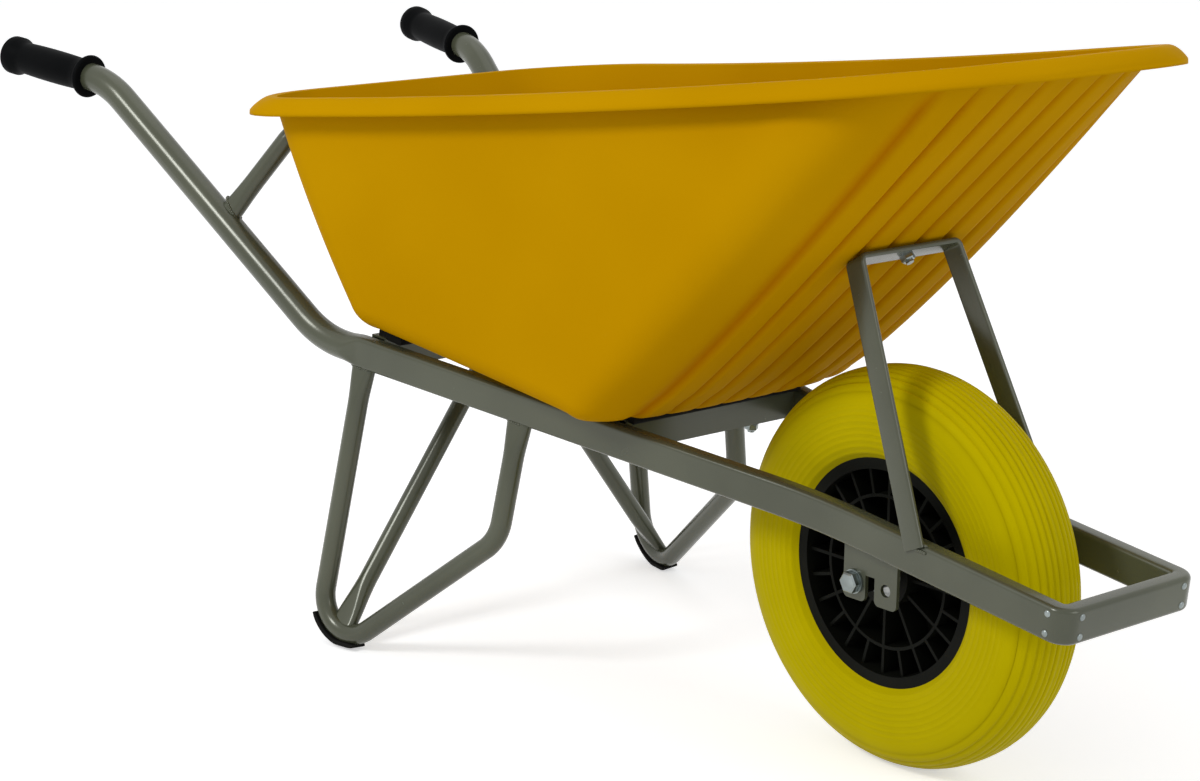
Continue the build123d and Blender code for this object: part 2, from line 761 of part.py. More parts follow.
def tray_outline(plane, shape):
    rear, half_width, corner, start, nose_half, depth, power, span = shape
    side = Vector(rear - start, nose_half - half_width).normalized()
    corner_end = (-rear + side.X * corner, half_width + side.Y * corner)
    other_end = (corner_end[0], -corner_end[1])
    with BuildSketch(plane) as outline:
        with BuildLine():
            Line((-rear, corner - half_width), (-rear, half_width - corner))
            TangentArc((-rear, half_width - corner), corner_end, tangent=(0, 1))
            Polyline(corner_end, *nose_points(shape), other_end)
            TangentArc(other_end, (-rear, corner - half_width), tangent=(-side.X, side.Y))
        make_face()
    return outline.sketch


def rim_outline(plane, shape):
    rear, half_width, corner, start, nose_half, depth, power, span = shape
    side = Vector(rear - start, nose_half - half_width).normalized()
    corner_end = (-rear + side.X * corner, half_width + side.Y * corner)
    other_end = (corner_end[0], -corner_end[1])
    nose_start = (-start, nose_half)
    curve = [(nose_x(shape, nose_half * share), nose_half * share) for share in (0.96, 0.86, 0.65, 0.35, 0)]
    curve = [nose_start] + curve + [(x, -y) for x, y in reversed(curve[:-1])] + [(-start, -nose_half)]
    with BuildSketch(plane) as outline:
        with BuildLine():
            Line((-rear, corner - half_width), (-rear, half_width - corner))
            TangentArc((-rear, half_width - corner), corner_end, tangent=(0, 1))
            Line(corner_end, nose_start)
            Spline(*curve, tangents=[(side.X, side.Y), (-side.X, side.Y)])
            Line((-start, -nose_half), other_end)
            TangentArc(other_end, (-rear, corner - half_width), tangent=(-side.X, side.Y))
        make_face()
    return outline.sketch


rim_nose_tip = rim_nose_depth - rim_nose_start
rim_chord = (rim_front_height - rim_rear_height) / (rim_nose_tip + rim_rear)
rim_axle_height = rim_rear_height + rim_chord * rim_rear + wall_top_margin
top_dir = Vector(1, 0, rim_chord).normalized()
top_plane = Plane(origin=(axle_x, 0, rim_axle_height), x_dir=top_dir, z_dir=(-top_dir.Z, 0, top_dir.X))
floor_plane = deck.offset(deck_top + pad_thickness)
wall_top_shape = inset_shape(rim_shape, wall_top_inset)


# The loft's levels: height, share of the way to the rim and inset, in parts of the bottom round
round_levels = ((0, 0, 0.8), (0.3, 0.3, 0.2), (1, 1, 0))


def tray_body(inset, rise):
    sections = []
    for height, share, extra in round_levels:
        level_shape = blend_shape(floor_shape, wall_top_shape, share * tray_round_share)
        level_plane = floor_plane.offset(rise + height * tray_round)
        sections.append(tray_outline(level_plane, inset_shape(level_shape, inset + extra * tray_round)))
    sections.append(tray_outline(top_plane, inset_shape(wall_top_shape, inset)))
    return loft(sections, ruled=True, mode=Mode.PRIVATE)


plan_plane = Plane(origin=(axle_x, 0, 0))
rim_view = Plane(origin=(axle_x, 0, 0), x_dir=(1, 0, 0), z_dir=(0, -1, 0))


def rim_height(x):
    rear, middle, front = -rim_rear, rim_middle_ahead, rim_nose_tip
    return (
        rim_rear_height * (x - middle) * (x - front) / ((rear - middle) * (rear - front))
        + rim_middle_height * (x - rear) * (x - front) / ((middle - rear) * (middle - front))
        + rim_front_height * (x - rear) * (x - middle) / ((front - rear) * (front - middle))
    )


def rim_band(low, high):
    ends = (-rim_rear - rim_skirt, rim_middle_ahead, rim_nose_tip + rim_skirt)
    upper = [(x, rim_height(x) + high) for x in ends]
    lower = [(x, rim_height(x) + low) for x in ends]
    with BuildSketch(rim_view) as band:
        with BuildLine():
            ThreePointArc(*upper)
            Line(upper[2], lower[2])
            ThreePointArc(*lower)
            Line(lower[0], upper[0])
        make_face()
    return band.sketch


with BuildPart() as rim_hollow:
    extrude(rim_outline(plan_plane, inset_shape(rim_shape, rim_thickness)), amount=2 * rim_front_height)
    extrude(rim_band(-2 * rim_skirt, -rim_thickness), amount=rim_rear, both=True, mode=Mode.INTERSECT)

with BuildPart() as rim_roll:
    extrude(rim_outline(plan_plane, rim_shape), amount=2 * rim_front_height)
    extrude(rim_band(-rim_skirt, 0), amount=rim_rear, both=True, mode=Mode.INTERSECT)
    add(rim_hollow.part, mode=Mode.SUBTRACT)


def wall_line(inset, rise, front):
    low_shape = inset_shape(blend_shape(floor_shape, wall_top_shape, tray_round_share), inset)
    high_shape = inset_shape(wall_top_shape, inset)
    low_x = nose_x(low_shape, 0) if front else -low_shape[0]
    high_x = nose_x(high_shape, 0) if front else -high_shape[0]
    low = floor_plane.offset(rise + tray_round).from_local_coords((low_x, 0, 0))
    return low, top_plane.from_local_coords((high_x, 0, 0))


def depth_to_line(point, direction, line):
    along = line[1] - line[0]
    gap = line[0] - point
    return (gap.X * along.Z - gap.Z * along.X) / (direction.X * along.Z - direction.Z * along.X)


rear_low, rear_high = wall_line(0, 0, False)
rear_up = (rear_high - rear_low).normalized()
rear_out = Vector(-rear_up.Z, 0, rear_up.X)
hoop_seat = rear_low + rear_up * hoop_up_wall
hoop_middle = hoop_seat + rear_out * (hoop_diameter / 2)
hoop_wall_depth = -depth_to_line(hoop_seat, rear_out, wall_line(tray_wall, tray_wall, False))
nose_low, nose_high = wall_line(0, 0, True)
nose_up = (nose_high - nose_low).normalized()
nose_out = Vector(nose_up.Z, 0, -nose_up.X)
bracket_seat = nose_low + nose_up * bracket_up_wall
bracket_middle = bracket_seat + nose_out * (bracket_bar_thickness / 2)
bracket_wall_depth = -depth_to_line(bracket_seat, nose_out, wall_line(tray_wall, tray_wall, True))
hoop_bolt_plane = Plane(hoop_seat, x_dir=(0, 1, 0), z_dir=-rear_out)
bracket_bolt_plane = Plane(bracket_seat, x_dir=(0, 1, 0), z_dir=-nose_out)
floor_seat_plane = Plane(on_deck((front_place, 0, deck_top + pad_thickness)), x_dir=(0, 1, 0), z_dir=deck_up)
bolt_hole_radius = tray_bolt_diameter / 2 + bolt_hole_clearance
hoop_bolt_places = ((hoop_bolt_half_spacing, 0), (-hoop_bolt_half_spacing, 0))
floor_bolt_places = ((floor_bolt_half_spacing, 0), (-floor_bolt_half_spacing, 0))

with BuildPart() as tray:
    add(tray_body(0, 0))
    extrude(rim_band(-rim_thickness, rim_rear_height), amount=rim_rear, both=True, mode=Mode.SUBTRACT)
    add(rim_roll.part)
    add(tray_body(tray_wall, tray_wall), mode=Mode.SUBTRACT)
    with BuildSketch(hoop_bolt_plane) as tray_hoop_holes:
        with Locations(*hoop_bolt_places):
            Circle(bolt_hole_radius)
    extrude(tray_hoop_holes.sketch, amount=2 * hoop_wall_depth, both=True, mode=Mode.SUBTRACT)
    with BuildSketch(bracket_bolt_plane) as tray_bracket_hole:
        Circle(bolt_hole_radius)
    extrude(tray_bracket_hole.sketch, amount=2 * bracket_wall_depth, both=True, mode=Mode.SUBTRACT)
    with BuildSketch(floor_seat_plane) as tray_floor_holes:
        with Locations(*floor_bolt_places):
            Circle(bolt_hole_radius)
    extrude(tray_floor_holes.sketch, amount=2 * tray_wall, both=True, mode=Mode.SUBTRACT)

# Rear hoop: one half, cut to the top of its rail, then mirrored
hoop_foot = on_deck(lower_point) + steep_dir * hoop_foot_distance + steep_up * (rail_height / 2)
hoop_corner = Vector(hoop_middle.X, hoop_half_width, hoop_middle.Z)
hoop_start = hoop_foot + (hoop_foot - hoop_corner).normalized() * hoop_diameter
with BuildPart() as rear_hoop:
    with BuildLine() as hoop_line:
        FilletPolyline(hoop_start, hoop_corner, hoop_middle, radius=hoop_bend)
    with BuildSketch(Plane(hoop_line.line @ 0, z_dir=hoop_line.line % 0)) as hoop_round:
        Circle(hoop_diameter / 2)
        Circle(hoop_diameter / 2 - hoop_wall, mode=Mode.SUBTRACT)
    sweep(hoop_round.sketch, path=hoop_line.line)
    split(bisect_by=Plane(hoop_foot, z_dir=steep_up), keep=Keep.TOP)
    mirror(about=Plane.XZ)
    with BuildSketch(hoop_bolt_plane) as hoop_holes:
        with Locations(*hoop_bolt_places):
            Circle(bolt_hole_radius)
    extrude(hoop_holes.sketch, amount=2 * hoop_diameter, both=True, mode=Mode.SUBTRACT)

# Front bracket: a flat bar across the nose of the tray on two struts
strut_half = bracket_half_width - bracket_bar_thickness / 2
strut_foot = on_deck((bracket_foot_ahead, fork_half_spacing + rail_width / 2 + bracket_bar_thickness / 2, 0))
strut_head = Vector(bracket_middle.X, strut_half, bracket_middle.Z)
strut_lean = Vector(strut_head.X - strut_foot.X, 0, strut_head.Z - strut_foot.Z).normalized()
with BuildPart() as front_bracket:
    with BuildLine() as strut_line:
        Polyline(strut_foot, strut_foot + strut_lean * bracket_foot_length, strut_head)
    with BuildSketch(Plane(strut_foot, x_dir=(0, 1, 0), z_dir=strut_lean)) as strut_section:
        Rectangle(bracket_bar_thickness, bracket_bar_width)
    sweep(strut_section.sketch, path=strut_line.line, transition=Transition.RIGHT)
    mirror(about=Plane.XZ)
    with BuildSketch(Plane(bracket_seat, x_dir=(0, 1, 0), z_dir=nose_out)) as bracket_bar:
        Rectangle(2 * bracket_half_width, bracket_bar_width)
    extrude(bracket_bar.sketch, amount=bracket_bar_thickness)
    with BuildSketch(bracket_bolt_plane) as bracket_hole:
        Circle(bolt_hole_radius)
    extrude(bracket_hole.sketch, amount=2 * bracket_bar_thickness, both=True, mode=Mode.SUBTRACT)

# Tray bolts and nuts: each plane sits on the outer face of the tray wall and looks inwards
floor_grip = pad_thickness + rail_height
bolt_sets = (
    ("floor", floor_seat_plane, floor_bolt_places, tray_wall, floor_grip),
    ("hoop", hoop_bolt_plane, hoop_bolt_places, hoop_wall_depth, hoop_diameter),
    ("bracket", bracket_bolt_plane, ((0, 0),), bracket_wall_depth, bracket_bar_thickness),
)


def tray_bolt(plane, places, wall, reach):
    with BuildSketch(plane.offset(wall + tray_bolt_head_lift)) as head:
        with Locations(*places):
            Circle(tray_bolt_head_diameter / 2)
    extrude(head.sketch, amount=tray_bolt_head_height, taper=tray_bolt_head_taper)
    with BuildSketch(plane.offset(wall + tray_bolt_head_lift)) as shank:
        with Locations(*places):
            Circle(tray_bolt_diameter / 2)
    extrude(shank.sketch, amount=-(wall + tray_bolt_head_lift + reach + tray_nut_height + tray_bolt_tip))


with BuildPart() as floor_bolts:
    tray_bolt(*bolt_sets[0][1:])

with BuildPart() as hoop_bolts:
    tray_bolt(*bolt_sets[1][1:])

with BuildPart() as bracket_bolt:
    tray_bolt(*bolt_sets[2][1:])

with BuildPart() as tray_nuts:
    for kind, plane, places, wall, reach in bolt_sets:
        with BuildSketch(plane.offset(-reach)) as nut_face:
            with Locations(*places):
                RegularPolygon(tray_nut_flats / 2, 6, major_radius=False)
                Circle(tray_bolt_diameter / 2 + seat_clearance, mode=Mode.SUBTRACT)
        extrude(nut_face.sketch, amount=-tray_nut_height)

# Grips
grip_section = Plane(on_deck(handle_point), x_dir=-rail_dir, z_dir=steep_side)
grip_round = grip_edge * (1 - sqrt(0.5))
grip_bore = rail_round_diameter / 2 + grip_clearance
collar_start = grip_length - grip_cap - grip_collar_width
with BuildPart() as grip_left:
    with BuildSketch(grip_section) as grip_profile:
        with BuildLine():
            Line((-grip_cap, 0), (-grip_cap, grip_flat_radius))
            ThreePointArc(
                (-grip_cap, grip_flat_radius),
                (-grip_cap + grip_round, grip_end_diameter / 2 - grip_round),
                (-grip_cap + grip_edge, grip_end_diameter / 2),
            )
            Polyline(
                (-grip_cap + grip_edge, grip_end_diameter / 2),
                (grip_end_length, grip_end_diameter / 2),
                (grip_end_length + grip_taper, grip_diameter / 2),
                (collar_start - grip_taper, grip_diameter / 2),
                (collar_start, grip_collar_diameter / 2),
                (grip_length - grip_cap, grip_collar_diameter / 2),
                (grip_length - grip_cap, grip_bore),
                (0, grip_bore),
                (0, 0),
                (-grip_cap, 0),
            )
        make_face()
    revolve(grip_profile.sketch, axis=Axis(on_deck(handle_point), rail_dir))

with BuildPart() as grip_right:
    mirror(grip_left.part, about=Plane.XZ)

pieces = {
    "tray": tray,
    "rail_left": rail_left,
    "rail_right": rail_right,
    "front_bar": front_bar,
    "corner_left": corner_left,
    "corner_right": corner_right,
    "corner_rivets": corner_rivets,
    "front_bracket": front_bracket,
    "bracket_bolt": bracket_bolt,
    "rear_hoop": rear_hoop,
    "hoop_bolts": hoop_bolts,
    "floor_bolts": floor_bolts,
    "tray_nuts": tray_nuts,
    "front_cross_tube": front_cross_tube,
    "rear_cross_tube": rear_cross_tube,
    "front_pad": front_pad,
    "rear_pad": rear_pad,
    "leg_left": leg_left,
    "leg_right": leg_right,
    "shoe_left": shoe_left,
    "shoe_right": shoe_right,
    "brace_left": brace_left,
    "brace_right": brace_right,
    "grip_left": grip_left,
    "grip_right": grip_right,
    "axle_plate_left": axle_plate_left,
    "axle_plate_right": axle_plate_right,
    "axle": axle,
    "axle_bolts": axle_bolts,
    "axle_washers": axle_washers,
    "spacer_left": spacer_left,
    "spacer_right": spacer_right,
    "bearing_left": bearing_left,
    "bearing_right": bearing_right,
    "rim": rim,
    "tyre": tyre,
}
for name, piece in pieces.items():
    piece.part.label = name
    export_step(piece.part, "parts/" + name + ".step")
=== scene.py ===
import bpy, bmesh, json, math
import numpy as np
from mathutils import Matrix, Vector


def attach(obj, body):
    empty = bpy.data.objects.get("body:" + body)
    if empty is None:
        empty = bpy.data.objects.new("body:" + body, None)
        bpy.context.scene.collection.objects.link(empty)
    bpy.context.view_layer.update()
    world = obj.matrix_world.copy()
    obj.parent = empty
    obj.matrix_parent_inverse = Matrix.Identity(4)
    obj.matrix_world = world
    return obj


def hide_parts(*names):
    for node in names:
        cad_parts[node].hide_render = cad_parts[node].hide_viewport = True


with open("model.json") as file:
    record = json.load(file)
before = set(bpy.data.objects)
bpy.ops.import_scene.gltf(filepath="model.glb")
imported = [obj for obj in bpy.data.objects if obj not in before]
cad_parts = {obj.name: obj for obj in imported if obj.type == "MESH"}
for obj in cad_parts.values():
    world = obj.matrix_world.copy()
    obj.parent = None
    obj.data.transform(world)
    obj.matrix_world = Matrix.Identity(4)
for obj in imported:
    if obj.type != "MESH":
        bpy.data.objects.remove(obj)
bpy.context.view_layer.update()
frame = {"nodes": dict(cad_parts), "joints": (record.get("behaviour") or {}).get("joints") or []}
nodes = frame["nodes"]
axleX, _, wheelR = frame["joints"][0]["pos_m"]
print("frame loaded", len(nodes), "nodes")


class Wire:  # one socket; sums on it add Math nodes
    def __init__(self, sheet, out):
        self.sheet, self.out = sheet, out

    def maths(self, op, *terms):
        return self.sheet.node("ShaderNodeMath", {"operation": op}, dict(enumerate(terms)))

    def __add__(self, o): return self.maths("ADD", self, o)
    def __radd__(self, o): return self.maths("ADD", o, self)
    def __sub__(self, o): return self.maths("SUBTRACT", self, o)
    def __rsub__(self, o): return self.maths("SUBTRACT", o, self)
    def __mul__(self, o): return self.maths("MULTIPLY", self, o)
    def __truediv__(self, o): return self.maths("DIVIDE", self, o)
    def __rtruediv__(self, o): return self.maths("DIVIDE", o, self)
    def __pow__(self, o): return self.maths("POWER", self, o)
    def __abs__(self): return self.maths("ABSOLUTE", self)
    def atLeast(self, o): return self.maths("MAXIMUM", self, o)
    def above(self, o): return self.maths("GREATER_THAN", self, o)
    def below(self, o): return self.maths("LESS_THAN", self, o)
    def sign(self): return self.maths("SIGN", self)
    def sine(self): return self.maths("SINE", self)
    def cosine(self): return self.maths("COSINE", self)


class Sheet:  # any node tree: material, world or geometry
    def __init__(self, tree):
        self.tree = tree
        tree.nodes.clear()

    def node(self, kind, settings=None, links=None, out=0):
        n = self.tree.nodes.new(kind)
        for key, value in (settings or {}).items():
            setattr(n, key, value)
        for key, value in (links or {}).items():
            for one in value if isinstance(value, list) else [value]:  # a list feeds one many-link socket
                if isinstance(one, Wire):
                    self.tree.links.new(one.out, n.inputs[key])
                else:
                    n.inputs[key].default_value = one
        return Wire(self, n.outputs[out] if n.outputs else None)

    def blend(self, share, a, b):
        return self.node("ShaderNodeMix", {"data_type": "RGBA"}, {"Factor": share, 6: a, 7: b}, out=2)


class Finish(Sheet):  # one material
    def __init__(self, name):
        self.mat = bpy.data.materials.new(name)
        self.mat.use_nodes = True
        super().__init__(self.mat.node_tree)
        self.place = self.node("ShaderNodeTexCoord", None, None, out="Object")

    def noise(self, scale, detail=3.0, rough=0.5, at=None):
        links = {"Vector": at or self.place, "Scale": scale, "Detail": detail, "Roughness": rough}
        return self.node("ShaderNodeTexNoise", None, links)

    def ramp(self, value, low, high):  # 0 to 1 between two values
        links = {0: value, 1: low, 2: high, 3: 0.0, 4: 1.0}
        return self.node("ShaderNodeMapRange", {"interpolation_type": "SMOOTHSTEP"}, links)

    def mottle(self, scale, detail, tones, low=0.3, high=0.7):  # two tones in soft patches
        first, second = (srgb(*tone) for tone in tones)
        return self.blend(self.ramp(self.noise(scale, detail), low, high), first, second)

    def bump(self, height, strength, distance, normal=None):
        links = {"Height": height, "Strength": strength, "Distance": distance}
        return self.node("ShaderNodeBump", None, links if normal is None else {**links, "Normal": normal})

    def part(self, axis):  # x, y or z of the place on the piece
        return self.node("ShaderNodeSeparateXYZ", None, {0: self.place}, out="XYZ".index(axis))

    def stretched(self, scale, turn=(0, 0, 0)):
        return self.node("ShaderNodeMapping", None, {"Vector": self.place, "Scale": scale, "Rotation": turn})

    def close(self, varied, fixed):
        surface = self.node("ShaderNodeBsdfPrincipled", None, {**fixed, **varied})
        self.node("ShaderNodeOutputMaterial", None, {"Surface": surface})
        return self.mat


def srgb(r, g, b):  # colour as seen on screen, 0 to 255
    return (*[(c / 255 / 12.92) if c <= 10 else ((c / 255 + 0.055) / 1.055) ** 2.4 for c in (r, g, b)], 1.0)


# camera and stage
viewSet = {
    "ahead": 1.76279, "side": -1.92287, "height": 1.01774, "yaw": 0.85861, "pitch": 0.24387, "roll": 0.01287,
    "focal": 2772.36, "width": 1200, "sensor": 36.0, "farthest": 100,
}


def makeCamera(s):
    yaw, pitch, roll = s["yaw"], s["pitch"], s["roll"]
    ahead = Vector((-math.sin(yaw) * math.cos(pitch), math.cos(yaw) * math.cos(pitch), -math.sin(pitch)))
    level = Vector((math.cos(yaw), math.sin(yaw), 0))
    upright = level.cross(ahead)
    right = level * math.cos(roll) + upright * math.sin(roll)
    up = upright * math.cos(roll) - level * math.sin(roll)
    cam = bpy.data.cameras.new("photoCamera")
    cam.sensor_fit, cam.sensor_width, cam.clip_end = "HORIZONTAL", s["sensor"], s["farthest"]
    cam.lens = s["focal"] * s["sensor"] / s["width"]
    obj = bpy.data.objects.new("photoCamera", cam)
    place = Matrix.Translation((axleX + s["ahead"], s["side"], s["height"]))
    obj.matrix_world = place @ Matrix((right, up, -ahead)).transposed().to_4x4()
    bpy.context.scene.collection.objects.link(obj)
    bpy.context.scene.camera = obj


makeCamera(viewSet)

black, white = (0, 0, 0, 1), (1, 1, 1, 1)
stageSet = {
    "roomLevel": 0.56, "roomTone": (0.97, 0.985, 1.0, 1.0), "floorTone": 0.86, "floorGlow": 0.5,
    "floorSize": 40.0, "floorDrop": 0.0004, "floorRough": 0.8, "floorGloss": 0.1,
}
lampSet = [
    {"name": "keyLamp", "place": (-0.4, -3.4, 2.9), "aim": (0.1, 0.0, 0.4), "size": 1.1, "watts": 66.0},
    {"name": "sideLamp", "place": (3.4, 0.6, 1.8), "aim": (0.3, 0.0, 0.4), "size": 1.8, "watts": 20.0},
    {"name": "topLamp", "place": (-0.8, 0.6, 3.6), "aim": (0.0, 0.0, 0.3), "size": 2.6, "watts": 9.0},
]


def seenRays(sheet):  # 1 on the rays that show the backdrop
    outs = sheet.node("ShaderNodeLightPath").out.node.outputs
    rays = [Wire(sheet, outs[k]) for k in ("Is Camera Ray", "Is Glossy Ray", "Is Transmission Ray")]
    return rays[0].atLeast(rays[1]).atLeast(rays[2])


def makeStage(s, lamps):
    scene = bpy.context.scene
    scene.view_settings.view_transform = "Standard"
    scene.world = bpy.data.worlds.new("studioRoom")
    scene.world.use_nodes = True
    room = Sheet(scene.world.node_tree)
    dim = room.node("ShaderNodeBackground", None, {"Color": s["roomTone"], "Strength": s["roomLevel"]})
    bright = room.node("ShaderNodeBackground", None, {"Color": white, "Strength": 1.0})
    mixed = room.node("ShaderNodeMixShader", None, {0: seenRays(room), 1: dim, 2: bright})
    room.node("ShaderNodeOutputWorld", None, {"Surface": mixed})

    finish = Finish("studioFloor")
    glow = finish.blend(seenRays(finish), black, white)
    tone = s["floorTone"]
    mat = finish.close(
        {"Roughness": s["floorRough"] + finish.noise(9, 2) * 0.1, "Emission Color": glow},
        {"Base Color": (tone, tone, tone, 1), "Specular IOR Level": s["floorGloss"],
         "Emission Strength": s["floorGlow"]})
    half, drop = s["floorSize"] / 2, -s["floorDrop"]
    corners = [(-half, -half, drop), (half, -half, drop), (half, half, drop), (-half, half, drop)]
    mesh = bpy.data.meshes.new("studioFloor")
    mesh.from_pydata(corners, [], [(0, 1, 2, 3)])
    mesh.materials.append(mat)
    floor = bpy.data.objects.new("studioFloor", mesh)
    scene.collection.objects.link(floor)
    for lamp in lamps:
        data = bpy.data.lights.new(lamp["name"], "AREA")
        data.shape, data.size, data.energy = "DISK", lamp["size"], lamp["watts"]
        obj = bpy.data.objects.new(lamp["name"], data)
        away = Vector(lamp["place"]) - Vector(lamp["aim"])
        obj.rotation_euler = away.to_track_quat("Z", "Y").to_euler()
        obj.location = lamp["place"]
        scene.collection.objects.link(obj)


makeStage(stageSet, lampSet)
print("stage ready")

# finishes
groovePitch = 0.0068  # tread grooves, cut into the shape and darkened with painted shade alike
trayTones = {
    "tones": ((190, 139, 0), (197, 146, 2)), "scuff": (208, 166, 52), "scuffShare": 0.14,
    "groove": (176, 100, 0), "grooveShadeShare": 0.7, "rough": 0.34, "gloss": 0.001, "tint": (1.0, 0.7, 0.1, 1.0),
}
paintTones = {
    "tones": ((70, 73, 57), (80, 83, 66)), "fleck": (112, 115, 100), "fleckShare": 0.2,
    "rub": (100, 102, 88), "rubShare": 0.2, "rough": 0.2, "metal": 0.15, "gloss": 0.5,
}
tyreTones = {
    "tones": ((186, 170, 0), (193, 177, 2)), "dirt": (128, 114, 20), "dirtShare": 0.14,
    # groove and ring colours: painted shade in the tread grooves and on the sidewall rings
    "groove": (136, 120, 0), "grooveShadeShare": 0.2, "ring": (140, 124, 0), "ringShadeShare": 0.12,
    "tread": (0.158, 0.172), "ringPitch": 0.0062, "rough": 0.42, "gloss": 0.05, "tint": (1.0, 0.88, 0.08, 1.0),
}


def trayPlastic(s):
    f = Finish("trayPlastic")
    base = f.mottle(3.5, 2, s["tones"])
    scuff = f.noise(70, 6, 0.65, at=f.stretched((0.2, 1.0, 0.6), (0.3, 0.2, 0.7)))
    base = f.blend(f.ramp(scuff, 0.66, 0.78) * s["scuffShare"], base, srgb(*s["scuff"]))
    groove = f.node("ShaderNodeAttribute", {"attribute_name": "groove"}, None, out="Fac")
    base = f.blend(groove * s["grooveShadeShare"], base, srgb(*s["groove"]))  # light caught in the grooves turns orange
    grain = f.bump(f.noise(750, 2), 0.08, 0.0004)
    wavy = f.bump(f.noise(14, 2), 0.10, 0.003, grain)
    rough = s["rough"] + f.noise(16, 4) * 0.10 + f.ramp(scuff, 0.6, 0.75) * 0.1
    return f.close({"Base Color": base, "Roughness": rough, "Normal": wavy},
                   {"Specular IOR Level": s["gloss"], "Specular Tint": s["tint"]})


def framePaint(s):
    f = Finish("framePaint")
    base = f.mottle(7, 3, s["tones"])
    base = f.blend(f.ramp(f.noise(2200, 1), 0.62, 0.75) * s["fleckShare"], base, srgb(*s["fleck"]))
    rub = f.ramp(f.noise(55, 7, 0.7), 0.66, 0.74)
    base = f.blend(rub * s["rubShare"], base, srgb(*s["rub"]))
    peel = f.bump(f.noise(330, 2), 0.08, 0.0005)
    rough = s["rough"] + f.noise(20, 4) * 0.1 + rub * 0.1
    return f.close({"Base Color": base, "Roughness": rough, "Normal": peel},
                   {"Metallic": s["metal"], "Specular IOR Level": s["gloss"]})


def zincPlate(name, tone, lighter=1.24, darker=0.75):
    f = Finish(name)
    base = f.mottle(40, 4, (tone, [c * lighter for c in tone]))
    stain = f.ramp(f.noise(160, 5, 0.65), 0.6, 0.72)
    base = f.blend(stain * 0.4, base, srgb(*[c * darker for c in tone]))
    turn = f.bump(f.noise(1400, 2, 0.5, at=f.stretched((1.0, 0.15, 1.0))), 0.12, 0.0002)
    rough = 0.24 + f.noise(90, 3) * 0.14 + stain * 0.12
    return f.close({"Base Color": base, "Roughness": rough, "Normal": turn}, {"Metallic": 1.0})


def blackSkin(name, tone, pebble, rough, gloss, lighter=5, dustTone=(80, 78, 72)):
    f = Finish(name)
    base = f.mottle(18, 4, (tone, [c + lighter for c in tone]), high=0.75)
    dust = f.ramp(f.noise(60, 6, 0.7), 0.62, 0.78)
    base = f.blend(dust * 0.06, base, srgb(*dustTone))
    skin = f.bump(f.noise(pebble, 2), 0.2, 0.0005)
    worn = rough + f.noise(30, 3) * 0.14 + dust * 0.1
    return f.close({"Base Color": base, "Roughness": worn, "Normal": skin}, {"Specular IOR Level": gloss})


def tyreFoam(s):
    f = Finish("tyreFoam")
    base = f.mottle(9, 3, s["tones"])
    dirt = f.ramp(f.noise(45, 7, 0.7), 0.62, 0.75)
    base = f.blend(dirt * s["dirtShare"], base, srgb(*s["dirt"]))
    px, py, pz = f.part("X") - axleX, f.part("Y"), f.part("Z") - wheelR
    reach = (px * px + pz * pz) ** 0.5
    tread = f.ramp(reach, *s["tread"])
    groove = ((py * (2 * math.pi / groovePitch)).cosine() * 0.5 + 0.5) ** 3.0 * tread
    # painted shade: the tread grooves darkened in colour
    base = f.blend(groove * s["grooveShadeShare"], base, srgb(*s["groove"]))
    rings = (reach * (2 * math.pi / s["ringPitch"])).sine() * (1 - tread)
    # painted shade darkens part of each moulded sidewall ring
    base = f.blend(f.ramp(rings, 0.55, 1.0) * s["ringShadeShare"], base, srgb(*s["ring"]))
    moulded = f.bump(rings, 0.3, 0.0007)
    pores = f.bump(f.noise(950, 3, 0.6), 0.14, 0.0005, moulded)
    rough = s["rough"] + f.noise(24, 4) * 0.14 + dirt * 0.08
    return f.close({"Base Color": base, "Roughness": rough, "Normal": pores},
                   {"Specular IOR Level": s["gloss"], "Specular Tint": s["tint"]})


def bearingSteel(tones):
    f = Finish("bearingSteel")
    base = f.mottle(120, 4, tones)
    ring = f.bump(f.noise(900, 2, 0.5, at=f.stretched((1.0, 0.1, 1.0))), 0.1, 0.0002)
    return f.close({"Base Color": base, "Roughness": 0.3 + f.noise(70, 3) * 0.15, "Normal": ring}, {"Metallic": 1.0})


mats = {
    "tray_plastic": trayPlastic(trayTones), "frame_paint": framePaint(paintTones),
    "zinc": zincPlate("zincPlate", (122, 129, 128)),
    "pad_rubber": blackSkin("padRubber", (22, 22, 20), 420, 0.6, 0.06),
    "grip_rubber": blackSkin("gripRubber", (9, 10, 11), 640, 0.42, 0.02),
    "bearing_steel": bearingSteel(((120, 122, 122), (156, 158, 156))),
    "rim_plastic": blackSkin("rimPlastic", (14, 15, 11), 520, 0.4, 0.05),
    "tyre_foam": tyreFoam(tyreTones),
}
# a dark copy of zinc: painted shade for the spacers that sit deep behind the plates
dullZinc = zincPlate("dullZinc", (34, 36, 35))
print("finishes ready")

# shared places, in millimetres ahead of the axle and above the ground
deckTilt, deckTurn = math.radians(5.9), math.radians(10.2)
deckAlong = np.array([math.cos(deckTilt), 0, -math.sin(deckTilt)])
deckUp = np.array([math.sin(deckTilt), 0, math.cos(deckTilt)])
acrossWay = np.array([0.0, 1.0, 0.0])
deckAt = np.array([0, 0, 259.0])
frontCrossAt, rearCrossAt = -296.9, -613.8
sharpAt = {"hex": 35.0, "bracket": 45, "tube": 50, "tray": 60, "dome": 60, "tyre": 60, "bead": 80}  # degrees


def unit(v):
    return v / np.linalg.norm(v)


def eased(t):
    return t * t * (3 - 2 * t)


def onDeck(s, y, t):
    return deckAt + deckAlong * s + acrossWay * y + deckUp * t


def flipped(points):  # the other side of the barrow
    return np.asarray(points) * np.array([1, -1, 1])


sides = (("left", np.asarray), ("right", flipped))


def toMetres(points):
    return [(axleX + p[0] / 1000, p[1] / 1000, p[2] / 1000) for p in points]


